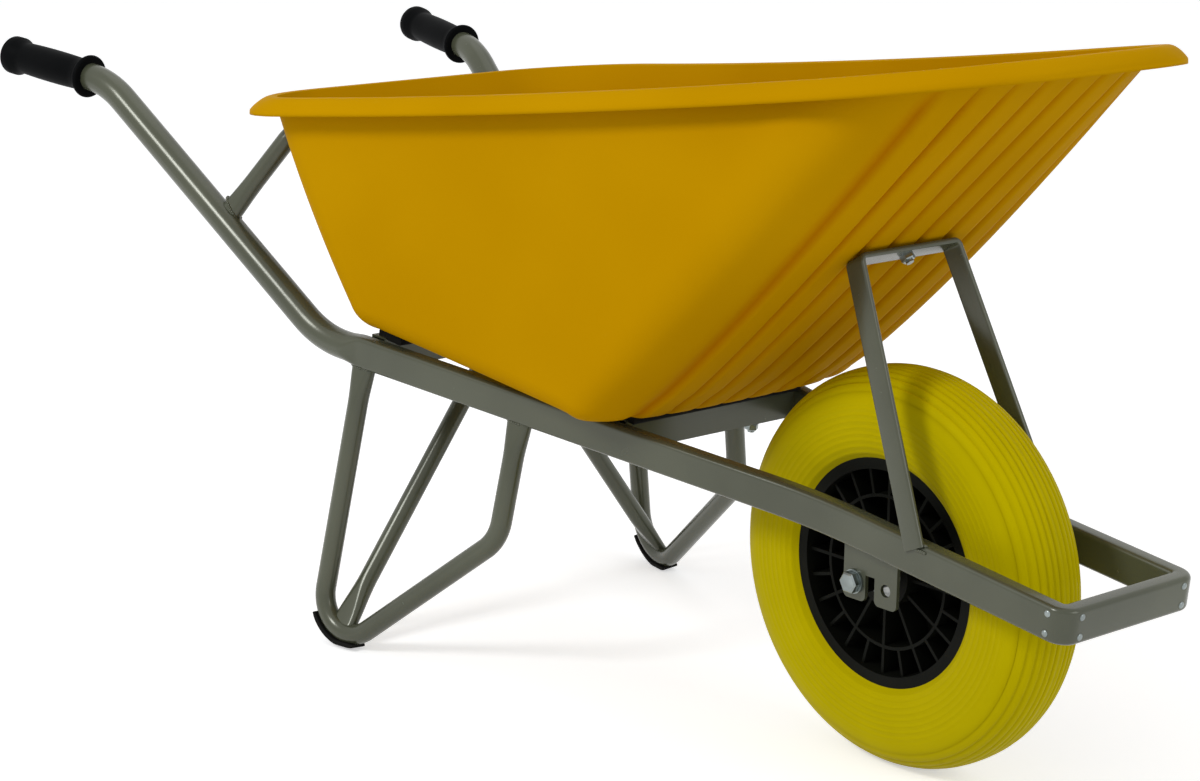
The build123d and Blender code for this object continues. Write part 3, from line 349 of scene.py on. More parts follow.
def faceOut(mesh, mergeGap=None):
    work = bmesh.new()
    work.from_mesh(mesh)
    if mergeGap:
        bmesh.ops.remove_doubles(work, verts=work.verts, dist=mergeGap)
    bmesh.ops.recalc_face_normals(work, faces=work.faces)
    work.to_mesh(mesh)
    work.free()


def makeMesh(name, points, faces, mat, sharp):
    mesh = bpy.data.meshes.new(name)
    mesh.from_pydata(toMetres(points), [], faces)
    faceOut(mesh)
    mesh.shade_smooth()
    mesh.set_sharp_from_angle(angle=math.radians(sharp))
    mesh.materials.append(mat)
    obj = bpy.data.objects.new(name, mesh)
    bpy.context.scene.collection.objects.link(obj)
    return obj


def handOver(obj, body, slot, *names):
    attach(obj, body)
    if names:
        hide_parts(*names)


def ringFaces(rows, cols):  # quads between closed rings of points
    faces = []
    for i in range(rows - 1):
        for j in range(cols):
            k, l = i + 1, (j + 1) % cols
            faces.append((i * cols + j, i * cols + l, k * cols + l, k * cols + j))
    return faces


def tubeFaces(rows, cols):  # the same, closed at both ends
    return ringFaces(rows, cols) + [tuple(range(cols)), tuple(range((rows - 1) * cols, rows * cols))]


def settle(obj):  # modifiers become plain mesh
    bpy.context.view_layer.update()
    mesh = bpy.data.meshes.new_from_object(obj.evaluated_get(bpy.context.evaluated_depsgraph_get()))
    obj.modifiers.clear()
    obj.data = mesh


# tray
outlineSteps = {"rear": 7, "corner": 22, "side": 18, "nose": 15, "rib": 6}
traySet = {
    "rim": {"rear": 825.8, "half": 279.3, "corner": 135.0, "start": -6.0, "noseHalf": 218.9, "depth": 215.9,
            "power": 2.54},
    "floor": {"rear": 667.0, "half": 201.5, "corner": 42.0, "start": 328.0, "noseHalf": 199.0, "depth": 74.0,
              "power": 3.4},
    "heights": (587.5, 663.5, 726.0), "heightAt": (-826.0, -188.0, 222.0), "lift": 26.0, "wall": 4.5,
    "skirt": 18.5, "edge": 12.5, "lipCurve": 1.5, "lipHem": 3.0, "lipSteps": 6, "slopeSteps": 9,
    "inSide": 27.0, "inRear": 25.0, "inNose": 37.0, "topCorner": 118.0, "topPower": 3.0,
    "bottomRound": 38.0, "noseRound": 52.0, "roundSteps": 13, "wallSteps": 19,
    "bulge": 4.5, "noseShare": 0.6, "noseBulge": 15.0, "bulgeSmooth": 6, "lowBulge": 9.0, "lowPeak": 0.286,
    "ribs": 7, "ribDepth": 5.0, "ribWidth": 4.2, "ribMargin": 0.3, "ribFade": (4, 2), "ribLean": 0.5,
    "floorSpan": 0.65, "rimSpan": 0.72, "rearEnd": 10, "frontEnd": 46,
}


def halfOutline(o, span, ribs, steps=outlineSteps):  # rear middle, round one side, to the middle of the nose
    keys = ("rear", "half", "corner", "start", "noseHalf", "depth", "power")
    rear, half, corner, start, nose, depth, power = (o[k] for k in keys)
    side = unit(np.array([rear - start, nose - half]))
    pts = [(-rear, y) for y in np.linspace(0, half - corner, steps["rear"])[:-1]]
    a, m = np.array([-rear, half - corner]), np.array([-rear, half])
    b = m + side * corner
    w = math.sqrt(0.5)
    for t in np.linspace(0, 1, steps["corner"]):  # rounded corner
        share = (1 - t) ** 2 + 2 * w * t * (1 - t) + t * t
        pts.append(tuple(((1 - t) ** 2 * a + 2 * w * t * (1 - t) * m + t * t * b) / share))
    for t in np.linspace(0, 1, steps["side"])[1:]:
        pts.append(tuple(b + (np.array([-start, nose]) - b) * t))
    ys = [nose * (1 - (1 - span) * q * q) for q in np.linspace(0, 1, steps["nose"])[1:]]
    ys += list(np.linspace(nose * span, 0, steps["rib"] * ribs + 1)[1:])
    for y in ys:
        pts.append((-start + depth * max(0.0, 1 - (y / nose) ** power) ** (1 / power), y))
    return np.array(pts)


def makeTray(s):
    rim, base, wall, edgeR = s["rim"], s["floor"], s["wall"], s["edge"]

    def rimZ(x):  # a parabola through three heights
        (a, b, c), (p, q, r) = s["heightAt"], s["heights"]
        rear = p * (x - b) * (x - c) / ((a - b) * (a - c))
        middle = q * (x - a) * (x - c) / ((b - a) * (b - c))
        return rear + middle + r * (x - a) * (x - b) / ((c - a) * (c - b))

    def rimLine(side, rear, nose, **more):  # the rim's outline, tucked in
        tucked = {"rear": rim["rear"] - rear, "half": rim["half"] - side, "noseHalf": rim["noseHalf"] - side,
                  "depth": rim["depth"] - nose}
        return halfOutline({**rim, **tucked, **more}, s["rimSpan"], s["ribs"])

    def lifted(plan, drop):
        return np.column_stack([plan, rimZ(plan[:, 0]) - drop])

    flat = halfOutline(base, s["floorSpan"], s["ribs"])
    low = deckAt + deckUp * s["lift"] + flat[:, [0]] * deckAlong + flat[:, [1]] * acrossWay
    topPlan = rimLine(s["inSide"], s["inRear"], s["inNose"], corner=s["topCorner"], power=s["topPower"])
    top = lifted(topPlan, wall)
    count = len(low)
    rise = top - low
    length = np.linalg.norm(rise, axis=1)
    up = rise / length[:, None]
    trend = np.gradient(flat, axis=0)
    trend[0], trend[-1] = (0, 1), (0, -1)
    plan = np.column_stack([trend[:, 1], -trend[:, 0]]) / np.linalg.norm(trend, axis=1)[:, None]
    inward = plan[:, [0]] * deckAlong + plan[:, [1]] * acrossWay
    turn = math.pi - np.arccos(np.clip(np.sum(inward * up, axis=1), -1, 1))
    nosePart = np.clip((flat[:, 0] + base["start"]) / base["depth"], 0, 1) ** 2
    radius = s["bottomRound"] + (s["noseRound"] - s["bottomRound"]) * nosePart ** 2 * (3 - 2 * nosePart)
    reach = radius * np.tan(turn / 2)
    foot, head, w = low + inward * reach[:, None], low + up * reach[:, None], np.cos(turn / 2)
    rows = []
    for k in np.linspace(0, 1, s["roundSteps"]):  # bottom round
        share = (1 - k) ** 2 + 2 * w * k * (1 - k) + k * k
        bend = 2 * (w * k * (1 - k))[:, None] * low
        rows.append(((1 - k) ** 2 * foot + bend + k * k * head) / share[:, None])
    outward = -inward * np.array([1, 1, 0])
    ends = np.abs(flat[:, 1]) / base["noseHalf"]  # the nose bows at its corners and less at its middle
    noseBelly = s["bulge"] * s["noseShare"] + s["noseBulge"] * np.clip(ends, 0, 1) ** 2
    belly = np.where(flat[:, 0] > -base["start"], noseBelly, s["bulge"])
    window = 2 * s["bulgeSmooth"] + 1
    belly = np.convolve(np.pad(belly, s["bulgeSmooth"], mode="edge"), np.ones(window) / window, mode="valid")
    for k in np.linspace(0, 1, s["wallSteps"])[1:]:  # wall with a slight belly
        at = reach / length + (1 - reach / length) * k
        fuller = s["lowBulge"] * nosePart * math.sqrt(k) * (1 - k) ** 2 / s["lowPeak"]  # fullest near the nose's foot
        rows.append(low + rise * at[:, None] + outward * (4 * belly * k * (1 - k) + fuller)[:, None])
    wallRows = len(rows)
    rows = np.array(rows)

    normal = np.cross(np.gradient(rows, axis=1), np.gradient(rows, axis=0))
    normal /= np.maximum(np.linalg.norm(normal, axis=2), 1e-9)[:, :, None]
    ribStep = outlineSteps["rib"]
    place = (np.arange(count) - (count - ribStep * s["ribs"] - 1)) / (2 * ribStep)  # in ribs from the nose edge
    off = np.abs(place - np.round(place))
    off[place < -s["ribMargin"]] = 1.0
    lean = np.column_stack([outward[:, :2], np.full(count, -s["ribLean"])])
    depths = []
    for i in range(wallRows):
        wide = s["floorSpan"] * base["noseHalf"] * (1 - i / wallRows) + s["rimSpan"] * rim["noseHalf"] * i / wallRows
        fade = min(1.0, i / s["ribFade"][0], (wallRows - 1 - i) / s["ribFade"][1])
        groove = np.exp(-(off * 2 * wide / s["ribs"] / s["ribWidth"]) ** 2) * s["ribDepth"] * fade
        side = np.sign(np.sum(normal[i] * lean, axis=1))
        rows[i] -= normal[i] * (side * groove)[:, None]
        depths.append(groove / s["ribDepth"])

    noseLine, rearLine = rows[:, -1].copy(), rows[:, 0].copy()  # the wall at the middle of the nose and of the rear
    rows = list(rows)
    edge = rimLine(*[wall + edgeR] * 3)
    for k in np.linspace(0, 1, s["lipSteps"])[1:]:  # underside of the lip
        rows.append(lifted(topPlan + (edge - topPlan) * k, wall))
    for k in np.linspace(0, 1, s["slopeSteps"])[1:]:  # the lip slopes down to its edge
        drop = wall + (s["skirt"] - s["lipHem"] - wall) * k ** s["lipCurve"]
        rows.append(lifted(rimLine(*[wall + edgeR * (1 - k)] * 3), drop))
    rows.append(lifted(rimLine(*[wall] * 3), s["skirt"]))
    full = [np.vstack([r, flipped(r)[-2:0:-1]]) for r in rows]
    cols = len(full[0])
    rearEnd, frontEnd = s["rearEnd"], s["frontEnd"]
    faces = ringFaces(len(full), cols)
    faces.append(tuple(range(rearEnd + 1)) + tuple(cols - j for j in range(rearEnd, 0, -1)))
    faces += [(j, j + 1, cols - j - 1, cols - j) for j in range(rearEnd, frontEnd)]  # floor, in strips side to side
    faces.append(tuple(range(frontEnd, cols - frontEnd + 1)))
    depths += [np.zeros(count)] * (len(rows) - wallRows)
    tints = np.concatenate([np.concatenate([d, d[-2:0:-1]]) for d in depths])
    obj = makeMesh("trayShell", np.vstack(full), faces, mats["tray_plastic"], sharpAt["tray"])
    obj.data.attributes.new("groove", "FLOAT", "POINT").data.foreach_set("value", tints)
    mod = obj.modifiers.new("wall", "SOLIDIFY")
    mod.thickness, mod.offset, mod.use_quality_normals = wall / 1000, 1.0, True
    settle(obj)
    handOver(obj, "frame", "tray_plastic", "tray")
    return noseLine, rearLine


noseLine, rearLine = makeTray(traySet)
print("tray ready")

# bent tubes
bendSteps = {"fewest": 8, "degrees": 3}
roundSlack = 0.01  # a round section keeps this much flat, so no two points meet


def bent(points, radii):  # centre line with its corners rounded
    pts = [np.array(p, float) for p in points]
    path = [pts[0]]
    for a, b, c, r in zip(pts, pts[1:], pts[2:], radii):
        u, v = unit(a - b), unit(c - b)
        half = math.acos(np.clip(u @ v, -1, 1)) / 2
        sweep, cut = math.pi - 2 * half, r / math.tan(half)
        centre = b + unit(u + v) * (r / math.sin(half))
        start, end = b + u * cut - centre, b + v * cut - centre
        steps = max(bendSteps["fewest"], int(math.degrees(sweep) / bendSteps["degrees"]))
        for k in range(steps + 1):
            t = sweep * k / steps
            path.append(centre + (start * math.sin(sweep - t) + end * math.sin(t)) / math.sin(sweep))
    return np.array(path + [pts[-1]])


def roundRect(wide, high, corner, steps=7):  # section outline, a circle when the corner is half the width
    pts = []
    for q in range(4):
        sx, sy = (1, 1, -1, -1)[q], (1, -1, -1, 1)[q]
        cx, cy = sx * (wide / 2 - corner), sy * (high / 2 - corner)
        for k in range(steps + 1):
            a = math.pi / 2 - q * math.pi / 2 - k / steps * math.pi / 2
            pts.append((cx + corner * math.cos(a), cy + corner * math.sin(a)))
    return np.array(pts)


def pressedEnds(s):  # section of a round tube with its ends pressed wide and thin
    def section(at, total):
        t = eased(1 - np.clip(min(at, total - at) / s["flatLength"], 0, 1))
        wide, thick = (s["tube"] + (s[k] - s["tube"]) * t for k in ("flatWide", "flatThick"))
        return roundRect(wide, thick, thick / 2 - roundSlack)

    return section


def endRings(path, s):  # places along the tube where the pressed ends change
    length = np.sum(np.linalg.norm(np.diff(path, axis=0), axis=1))
    rings = np.linspace(0, s["flatLength"], s["flatRings"])
    return np.concatenate([rings, length - rings])


def makeTube(name, path, side, section, mat, extra=()):
    lengths = np.concatenate([[0], np.cumsum(np.linalg.norm(np.diff(path, axis=0), axis=1))])
    stops = np.concatenate([lengths, np.asarray(extra, float)])  # extra rings where the section changes
    stops = np.unique(np.round(stops, 3))
    path = np.column_stack([np.interp(stops, lengths, path[:, k]) for k in range(3)])
    runs = np.diff(path, axis=0)
    runs /= np.linalg.norm(runs, axis=1)[:, None]
    ways = np.vstack([runs[:1], runs[1:] + runs[:-1], runs[-1:]])
    ways /= np.linalg.norm(ways, axis=1)[:, None]
    rows, side = [], np.array(side, float)
    for p, way, at in zip(path, ways, stops):
        side = unit(side - way * (side @ way))
        ring = section(at, stops[-1])
        rows.append(p + ring[:, [0]] * side + ring[:, [1]] * np.cross(way, side))
    return makeMesh(name, np.vstack(rows), tubeFaces(len(rows), len(rows[0])), mat, sharpAt["tube"])


def bothSides(name, path, side, section, slot, node, extra=()):
    for tag, turn in sides:
        obj = makeTube(name + tag.capitalize(), turn(path), turn(side), section, mats[slot], extra)
        handOver(obj, "frame", slot, node + "_" + tag)


railSet = {
    "height": 35.0, "width": 19.0, "corner": 5.0, "round": 32.0, "forkHalf": 84.5, "forkRear": 39.0, "run": 674.0,
    "handleRun": 362.0, "handleRise": 216.0, "handle": 164.0, "barReach": 268.0, "frontDrop": 4.5,
    "cornerBend": 10.5, "bendSlack": 0.001, "bends": (700.0, 120.0, 110.0),
    "pressGap": 4.0, "pressSlack": 0.4, "press": 26.0, "pressRings": 12,
}
railBack = np.array([-math.cos(deckTurn), math.sin(deckTurn), 0])
forkPoint = np.array([-railSet["forkRear"], railSet["forkHalf"], 0])
railSide, railTop = railSet["forkHalf"] + railSet["width"] / 2, railSet["height"] / 2


def onRail(distance, lift=0.0):
    return onDeck(*(forkPoint + railBack * distance + np.array([0, 0, lift])))


railWay = unit(onRail(1) - onRail(0))
lowerPoint = forkPoint + railBack * railSet["run"]
upperPoint = lowerPoint + railBack * railSet["handleRun"] + np.array([0, 0, railSet["handleRise"]])
handlePoint = upperPoint + railBack * railSet["handle"]
steepWay = unit(onDeck(*upperPoint) - onDeck(*lowerPoint))


def makeRails(s):
    drop, barEnd = -s["frontDrop"], s["forkHalf"] - s["cornerBend"]
    front = np.array([s["barReach"] - s["cornerBend"], s["forkHalf"], drop])
    path = bent([onDeck(*p) for p in (front, forkPoint, lowerPoint, upperPoint, handlePoint)], s["bends"])
    lower = math.atan2(s["handleRise"], s["handleRun"])
    head = s["barReach"] - s["cornerBend"] + s["forkRear"] + s["run"] - s["bends"][1] * math.tan(lower / 2)
    head = head - s["pressGap"] - s["pressSlack"]

    def section(at, total):  # flat-sided up to the head, round beyond it
        t = eased(np.clip((at - head + s["press"]) / s["press"], 0, 1))
        wide, high = (s[k] + (s["round"] - s[k]) * t for k in ("width", "height"))
        return roundRect(wide, high, s["corner"] + (s["round"] / 2 - roundSlack - s["corner"]) * t)

    def flat(at, total):
        return roundRect(s["width"], s["height"], s["corner"])

    rings = np.linspace(head - s["press"], head, s["pressRings"])
    bothSides("rail", path, acrossWay, section, "frame_paint", "rail", rings)
    bar = np.array([onDeck(s["barReach"], y, drop) for y in (-barEnd, barEnd)])
    obj = makeTube("frontBar", bar, deckAlong, flat, mats["frame_paint"])
    handOver(obj, "frame", "frame_paint", "front_bar")
    corner, end = (onDeck(s["barReach"], y, drop) for y in (s["forkHalf"], barEnd))
    elbow = bent([onDeck(*front), corner, end], (s["cornerBend"] - s["bendSlack"],))
    bothSides("frontCorner", elbow, acrossWay, flat, "frame_paint", "corner")


makeRails(railSet)

legSet = {
    "tube": 22.5, "rear": 609.0, "spread": 226.0, "frontDrop": 129.0, "frontBend": 48.0, "footBend": 41.0, "topLap": 4,
    "flatWide": 30.0, "flatThick": 15.0, "flatLength": 46.0, "flatRings": 9, "track": 239.0, "sole": 4.0,
    "brace": 20.5, "braceGap": 22.0, "rearCross": 600.0, "braceIn": 6, "braceUp": 7, "braceLap": 2,
    "bracePress": 60, "braceWider": 11, "braceThinner": 8, "braceRings": 9,
    "shoeWide": 21.0, "shoeThick": 5.0, "shoeLap": 1.2, "shoeArc": (34, 112), "shoeSteps": 30, "shoeEdge": 1.4,
    "shoeThinner": 1.4, "shoeTaper": 8,
}
legTop = onRail(legSet["rear"], -railTop)
legAhead = -railWay
toFoot = np.array([legTop[0], legSet["track"], 0]) - legTop
legDown = unit(toFoot - legAhead * (toFoot @ legAhead))
legFlank = np.cross(legAhead, legDown)
footDrop = (legTop[2] + legSet["footBend"] * legAhead[2] - legSet["footBend"] * math.hypot(legAhead[2], legDown[2])
            - legSet["tube"] / 2 - legSet["sole"]) / -legDown[2]
braceTop = onDeck((forkPoint + railBack * legSet["rearCross"])[0], legSet["braceGap"], -railTop)


def onLeg(ahead, down):
    return legTop + legAhead * ahead + legDown * down


def makeLegs(s):
    away = (s["footBend"] - s["spread"], footDrop - s["frontDrop"])
    run = math.atan2(away[1], away[0]) - math.asin(s["footBend"] / math.hypot(*away))
    foot = s["frontDrop"] - s["spread"] * math.tan(run)
    places = ((s["spread"], -s["topLap"]), (s["spread"], s["frontDrop"]), (0, foot), (0, -s["topLap"]))
    path = bent([onLeg(*p) for p in places], (s["frontBend"], s["footBend"]))
    bothSides("leg", path, legAhead, pressedEnds(s), "frame_paint", "leg", endRings(path, s))

    braceFoot = onLeg(s["footBend"] - s["braceIn"], footDrop + s["footBend"] - s["braceUp"])
    line = np.array([braceFoot, braceTop + deckUp * s["braceLap"]])

    def braceSection(at, total):  # the foot end is pressed wide and thin
        t = eased(1 - np.clip(at / s["bracePress"], 0, 1))
        thick = s["brace"] - s["braceThinner"] * t
        return roundRect(s["brace"] + s["braceWider"] * t, thick, thick / 2 - roundSlack)

    rings = np.linspace(0, s["bracePress"], s["braceRings"])
    bothSides("brace", line, legAhead, braceSection, "frame_paint", "brace", rings)

    reach = s["footBend"] + s["tube"] / 2 + s["shoeThick"] / 2 - s["shoeLap"]
    arc = np.radians(np.linspace(*s["shoeArc"], s["shoeSteps"]))
    strip = [onLeg(s["footBend"] - reach * math.cos(a), footDrop + reach * math.sin(a)) for a in arc]
    strip = np.array(strip)
    ground = s["shoeThick"] / 2 + abs(legFlank[2]) * s["shoeWide"] / 2
    strip[:, 2] = np.maximum(strip[:, 2], ground)  # flat where it stands

    def sole(at, total):  # thinner at its ends
        thin = s["shoeThinner"] * max(0, 1 - min(at, total - at) / s["shoeTaper"])
        return roundRect(s["shoeWide"], s["shoeThick"] - thin, s["shoeEdge"])

    bothSides("shoe", strip, legFlank, sole, "pad_rubber", "shoe")


makeLegs(legSet)

hoopSet = {
    "tube": 22.0, "flatWide": 27.0, "flatThick": 17.0, "flatLength": 60.0, "flatRings": 9,
    "foot": 188.0, "seat": 554.0, "seatLap": 0.9, "half": 171.0, "bend": 30.0,
}


def seatOn(line, height):  # a place on the tray wall, the way up it, and the way square to it, to the front
    k = int(np.clip(np.searchsorted(line[:, 2], height), 1, len(line) - 1))
    up = unit(line[k] - line[k - 1])
    out = np.array([up[2], 0, -up[0]])
    return line[k - 1] + (line[k] - line[k - 1]) * (height - line[k - 1, 2]) / (line[k, 2] - line[k - 1, 2]), up, out


def makeHoop(s):
    seat, _, inside = seatOn(rearLine, s["seat"])
    corner = seat - inside * (s["tube"] / 2 - s["seatLap"]) + acrossWay * s["half"]
    foot = onDeck(*lowerPoint) + steepWay * s["foot"]
    path = bent([foot, corner, flipped(corner), flipped(foot)], (s["bend"], s["bend"]))
    hoop = makeTube("rearHoop", path, steepWay, pressedEnds(s), mats["frame_paint"], endRings(path, s))
    handOver(hoop, "frame", "frame_paint", "rear_hoop")
    return seat, -inside, corner, foot


hoopSeat, hoopOut, hoopCorner, hoopFoot = makeHoop(hoopSet)

bracketSet = {
    "wide": 24.0, "thick": 6.0, "edge": 2.2, "edgeSteps": 4, "half": 67.0, "seat": 512.5, "wallGap": 1.4,
    "footAhead": 93.0, "footDown": 9, "corner": 5.0, "twistFrom": 3, "twistOver": 14,
}


def makeBracket(s):
    seat, up, out = seatOn(noseLine, s["seat"])
    head = seat + out * (s["thick"] / 2 + s["wallGap"]) + acrossWay * s["half"]
    foot = onDeck(s["footAhead"], railSide, railTop - s["footDown"])
    lean = unit((head - foot) * np.array([1, 0, 1]))
    path = bent([foot, head, flipped(head), flipped(foot)], (s["corner"], s["corner"]))
    strutWide = np.array([lean[2], 0, -lean[0]])
    ring = roundRect(s["thick"], s["wide"], s["edge"], s["edgeSteps"])
    rows = []
    for k, p in enumerate(path):
        way = unit(path[min(k + 1, len(path) - 1)] - path[max(k - 1, 0)])
        t = np.clip((s["half"] + s["twistFrom"] - abs(p[1])) / s["twistOver"], 0, 1)  # from the strut to the wall
        wide = unit(strutWide * (1 - t) + up * t)
        wide = unit(wide - way * (wide @ way))
        rows.append(p + ring[:, [0]] * np.cross(way, wide) + ring[:, [1]] * wide)
    faces = tubeFaces(len(rows), len(ring))
    obj = makeMesh("frontBracket", np.vstack(rows), faces, mats["frame_paint"], sharpAt["bracket"])
    handOver(obj, "frame", "frame_paint", "front_bracket")
    return seat, out


bracketSeat, bracketOut = makeBracket(bracketSet)
print("frame tubes ready")

# grips, turned along the handle
gripSet = {
    "length": 138.0, "body": 39.0, "fuller": 1.2, "end": 45.0, "cap": 5.0, "edge": 3.0, "endLength": 8.0, "taper": 7.0,
    "collar": 50.0, "collarWide": 6.0, "collarRound": 2.5, "bore": 32.1,
    "endSteps": 7, "holdSteps": 13, "collarSteps": 11, "turns": 48,
}


def makeGrips(s):
    profile = [(-s["cap"], s["end"] / 2 - s["edge"])]  # place along the handle, and radius
    for k in np.linspace(0, math.pi / 2, s["endSteps"])[1:]:  # rounded end
        radius = s["end"] / 2 - s["edge"] * (1 - math.sin(k))
        profile.append((-s["cap"] + s["edge"] * (1 - math.cos(k)), radius))
    collarAt = s["length"] - s["cap"] - s["collarWide"]
    bodyFrom, bodyTo = s["endLength"] + s["taper"], collarAt - s["taper"]
    profile.append((s["endLength"], s["end"] / 2))
    for k in np.linspace(0, 1, s["holdSteps"]):  # the hold, a little fuller at its middle
        profile.append((bodyFrom + (bodyTo - bodyFrom) * k, s["body"] / 2 - s["fuller"] * (2 * k - 1) ** 2))
    for k in np.linspace(0, math.pi, s["collarSteps"]):  # rounded collar
        radius = s["collar"] / 2 - s["collarRound"] + s["collarRound"] * math.sin(k)
        profile.append((collarAt + s["collarWide"] / 2 * (1 - math.cos(k)), radius))
    profile.append((s["length"] - s["cap"], s["bore"] / 2))
    way, end = -railWay, onDeck(*handlePoint)
    side = unit(np.cross(way, deckUp))
    up = np.cross(side, way)
    angles = np.arange(s["turns"]) * 2 * math.pi / s["turns"]
    ring = [side * math.cos(t) + up * math.sin(t) for t in angles]
    for tag, turn in sides:
        points = [turn(end + way * a + spoke * r) for a, r in profile for spoke in ring]
        faces = tubeFaces(len(profile), s["turns"])
        obj = makeMesh("grip" + tag.capitalize(), points, faces, mats["grip_rubber"], sharpAt["tube"])
        handOver(obj, "frame", "grip_rubber", "grip_" + tag)


makeGrips(gripSet)
print("grips ready")

# geometry trees
growMerge, tyreMerge = 1e-6, 0.00002


def makeTree(name, sizes):
    tree = bpy.data.node_groups.new(name, "GeometryNodeTree")
    tree.interface.new_socket("Geometry", in_out="OUTPUT", socket_type="NodeSocketGeometry")
    tree.interface.new_socket("Points", in_out="INPUT", socket_type="NodeSocketGeometry")
    for key, value in sizes.items():
        kind = "NodeSocketInt" if isinstance(value, int) else "NodeSocketFloat"
        tree.interface.new_socket(key, in_out="INPUT", socket_type=kind).default_value = value
    tree.interface.new_socket("Finish", in_out="INPUT", socket_type="NodeSocketMaterial")
    sheet = Sheet(tree)
    taken = sheet.node("NodeGroupInput").out.node
    return sheet, {k.name: Wire(sheet, k) for k in taken.outputs if k.name}


def closeTree(sheet, given, shape):
    shape = sheet.node("GeometryNodeRealizeInstances", None, {0: shape})
    shape = sheet.node("GeometryNodeSetShadeSmooth", None, {0: shape, "Shade Smooth": True})
    shape = sheet.node("GeometryNodeSetMaterial", None, {0: shape, "Material": given["Finish"]})
    sheet.node("NodeGroupOutput", None, {0: shape})
    return sheet.tree


def grow(name, tree, sizes, mat, points, aims, sharp):
    mesh = bpy.data.meshes.new(name)
    mesh.from_pydata(toMetres(points), [], [])
    if aims is not None:
        flat = np.asarray(aims, float).ravel()
        mesh.attributes.new("aim", "FLOAT_VECTOR", "POINT").data.foreach_set("vector", flat)
    obj = bpy.data.objects.new(name, mesh)
    bpy.context.scene.collection.objects.link(obj)
    mod = obj.modifiers.new("tree", "NODES")
    mod.node_group = tree
    for item in tree.interface.items_tree:
        if item.in_out == "INPUT" and item.name in sizes:
            mod[item.identifier] = sizes[item.name]
        elif item.in_out == "INPUT" and item.name == "Finish":
            mod[item.identifier] = mat
    settle(obj)
    faceOut(obj.data, growMerge)
    obj.data.set_sharp_from_angle(angle=math.radians(sharp))
    return obj


def placeOn(sheet, given, shape, **more):  # one copy on each point, its z along the point's aim
    aim = sheet.node("GeometryNodeInputNamedAttribute", {"data_type": "FLOAT_VECTOR"}, {"Name": "aim"})
    turn = sheet.node("FunctionNodeAlignRotationToVector", {"axis": "Z"}, {"Vector": aim})
    links = {"Points": given["Points"], "Instance": shape, "Rotation": turn, **more}
    return sheet.node("GeometryNodeInstanceOnPoints", None, links)


def stacked(sheet, kind, links, z):  # a cylinder or cone moved along its axis
    at = sheet.node("ShaderNodeCombineXYZ", None, {2: z})
    return sheet.node("GeometryNodeTransform", None, {0: sheet.node(kind, None, links), "Translation": at})


boltSet = {
    "axle": {"Flats": 0.019, "Height": 0.0075, "Face": 0.0005, "Chamfer": 0.0014, "Shank": 0.006, "Tip": 0.0,
             "Tail": 0.036},
    "nut": {"Flats": 0.013, "Height": 0.0065, "Face": 0.0004, "Chamfer": 0.001, "Shank": 0.0039, "Tip": 0.003,
            "Tail": 0.008},
    "head": {"Radius": 0.0075, "Rise": 0.003}, "rivet": {"Radius": 0.0034, "Rise": 0.0015},
    "crown": 0.84, "faceShare": 0.49, "faceSides": 32, "shankSides": 24, "domeSegments": 24, "domeRings": 12,
    "axleFace": 77.5, "hoopHalf": 95.0, "floorHalf": 70.0, "rivetSpread": 19.0, "rivetBack": 2.0,
}


def hexTree(b):  # six-sided head or nut, chamfered, on a round face with its shank
    s, g = makeTree("hexFastener", b["nut"])
    cylinder, cone = "GeometryNodeMeshCylinder", "GeometryNodeMeshCone"
    radius = g["Flats"] / math.sqrt(3)
    body = g["Height"] - g["Chamfer"]
    prism = stacked(s, cylinder, {"Vertices": 6, "Radius": radius, "Depth": body}, g["Face"] + body / 2)
    taper = {"Radius Top": radius * b["crown"], "Radius Bottom": radius, "Depth": g["Chamfer"]}
    crown = stacked(s, cone, {"Vertices": 6, **taper}, g["Face"] + body)
    disc = {"Vertices": b["faceSides"], "Radius": g["Flats"] * b["faceShare"], "Depth": g["Face"]}
    seat = stacked(s, cylinder, disc, g["Face"] / 2)
    rod = {"Vertices": b["shankSides"], "Radius": g["Shank"], "Depth": g["Tail"] + g["Height"] + g["Tip"]}
    shank = stacked(s, cylinder, rod, (g["Height"] + g["Tip"] - g["Tail"]) / 2)
    joined = s.node("GeometryNodeJoinGeometry", None, {0: [prism, crown, seat, shank]})
    return closeTree(s, g, placeOn(s, g, joined))


def domeTree(b):  # low round head
    s, g = makeTree("domeFastener", b["head"])
    ball = {"Segments": b["domeSegments"], "Rings": b["domeRings"], "Radius": 1.0}
    ball = s.node("GeometryNodeMeshUVSphere", None, ball)
    size = s.node("ShaderNodeCombineXYZ", None, {0: g["Radius"], 1: g["Radius"], 2: g["Rise"]})
    return closeTree(s, g, placeOn(s, g, s.node("GeometryNodeTransform", None, {0: ball, "Scale": size})))


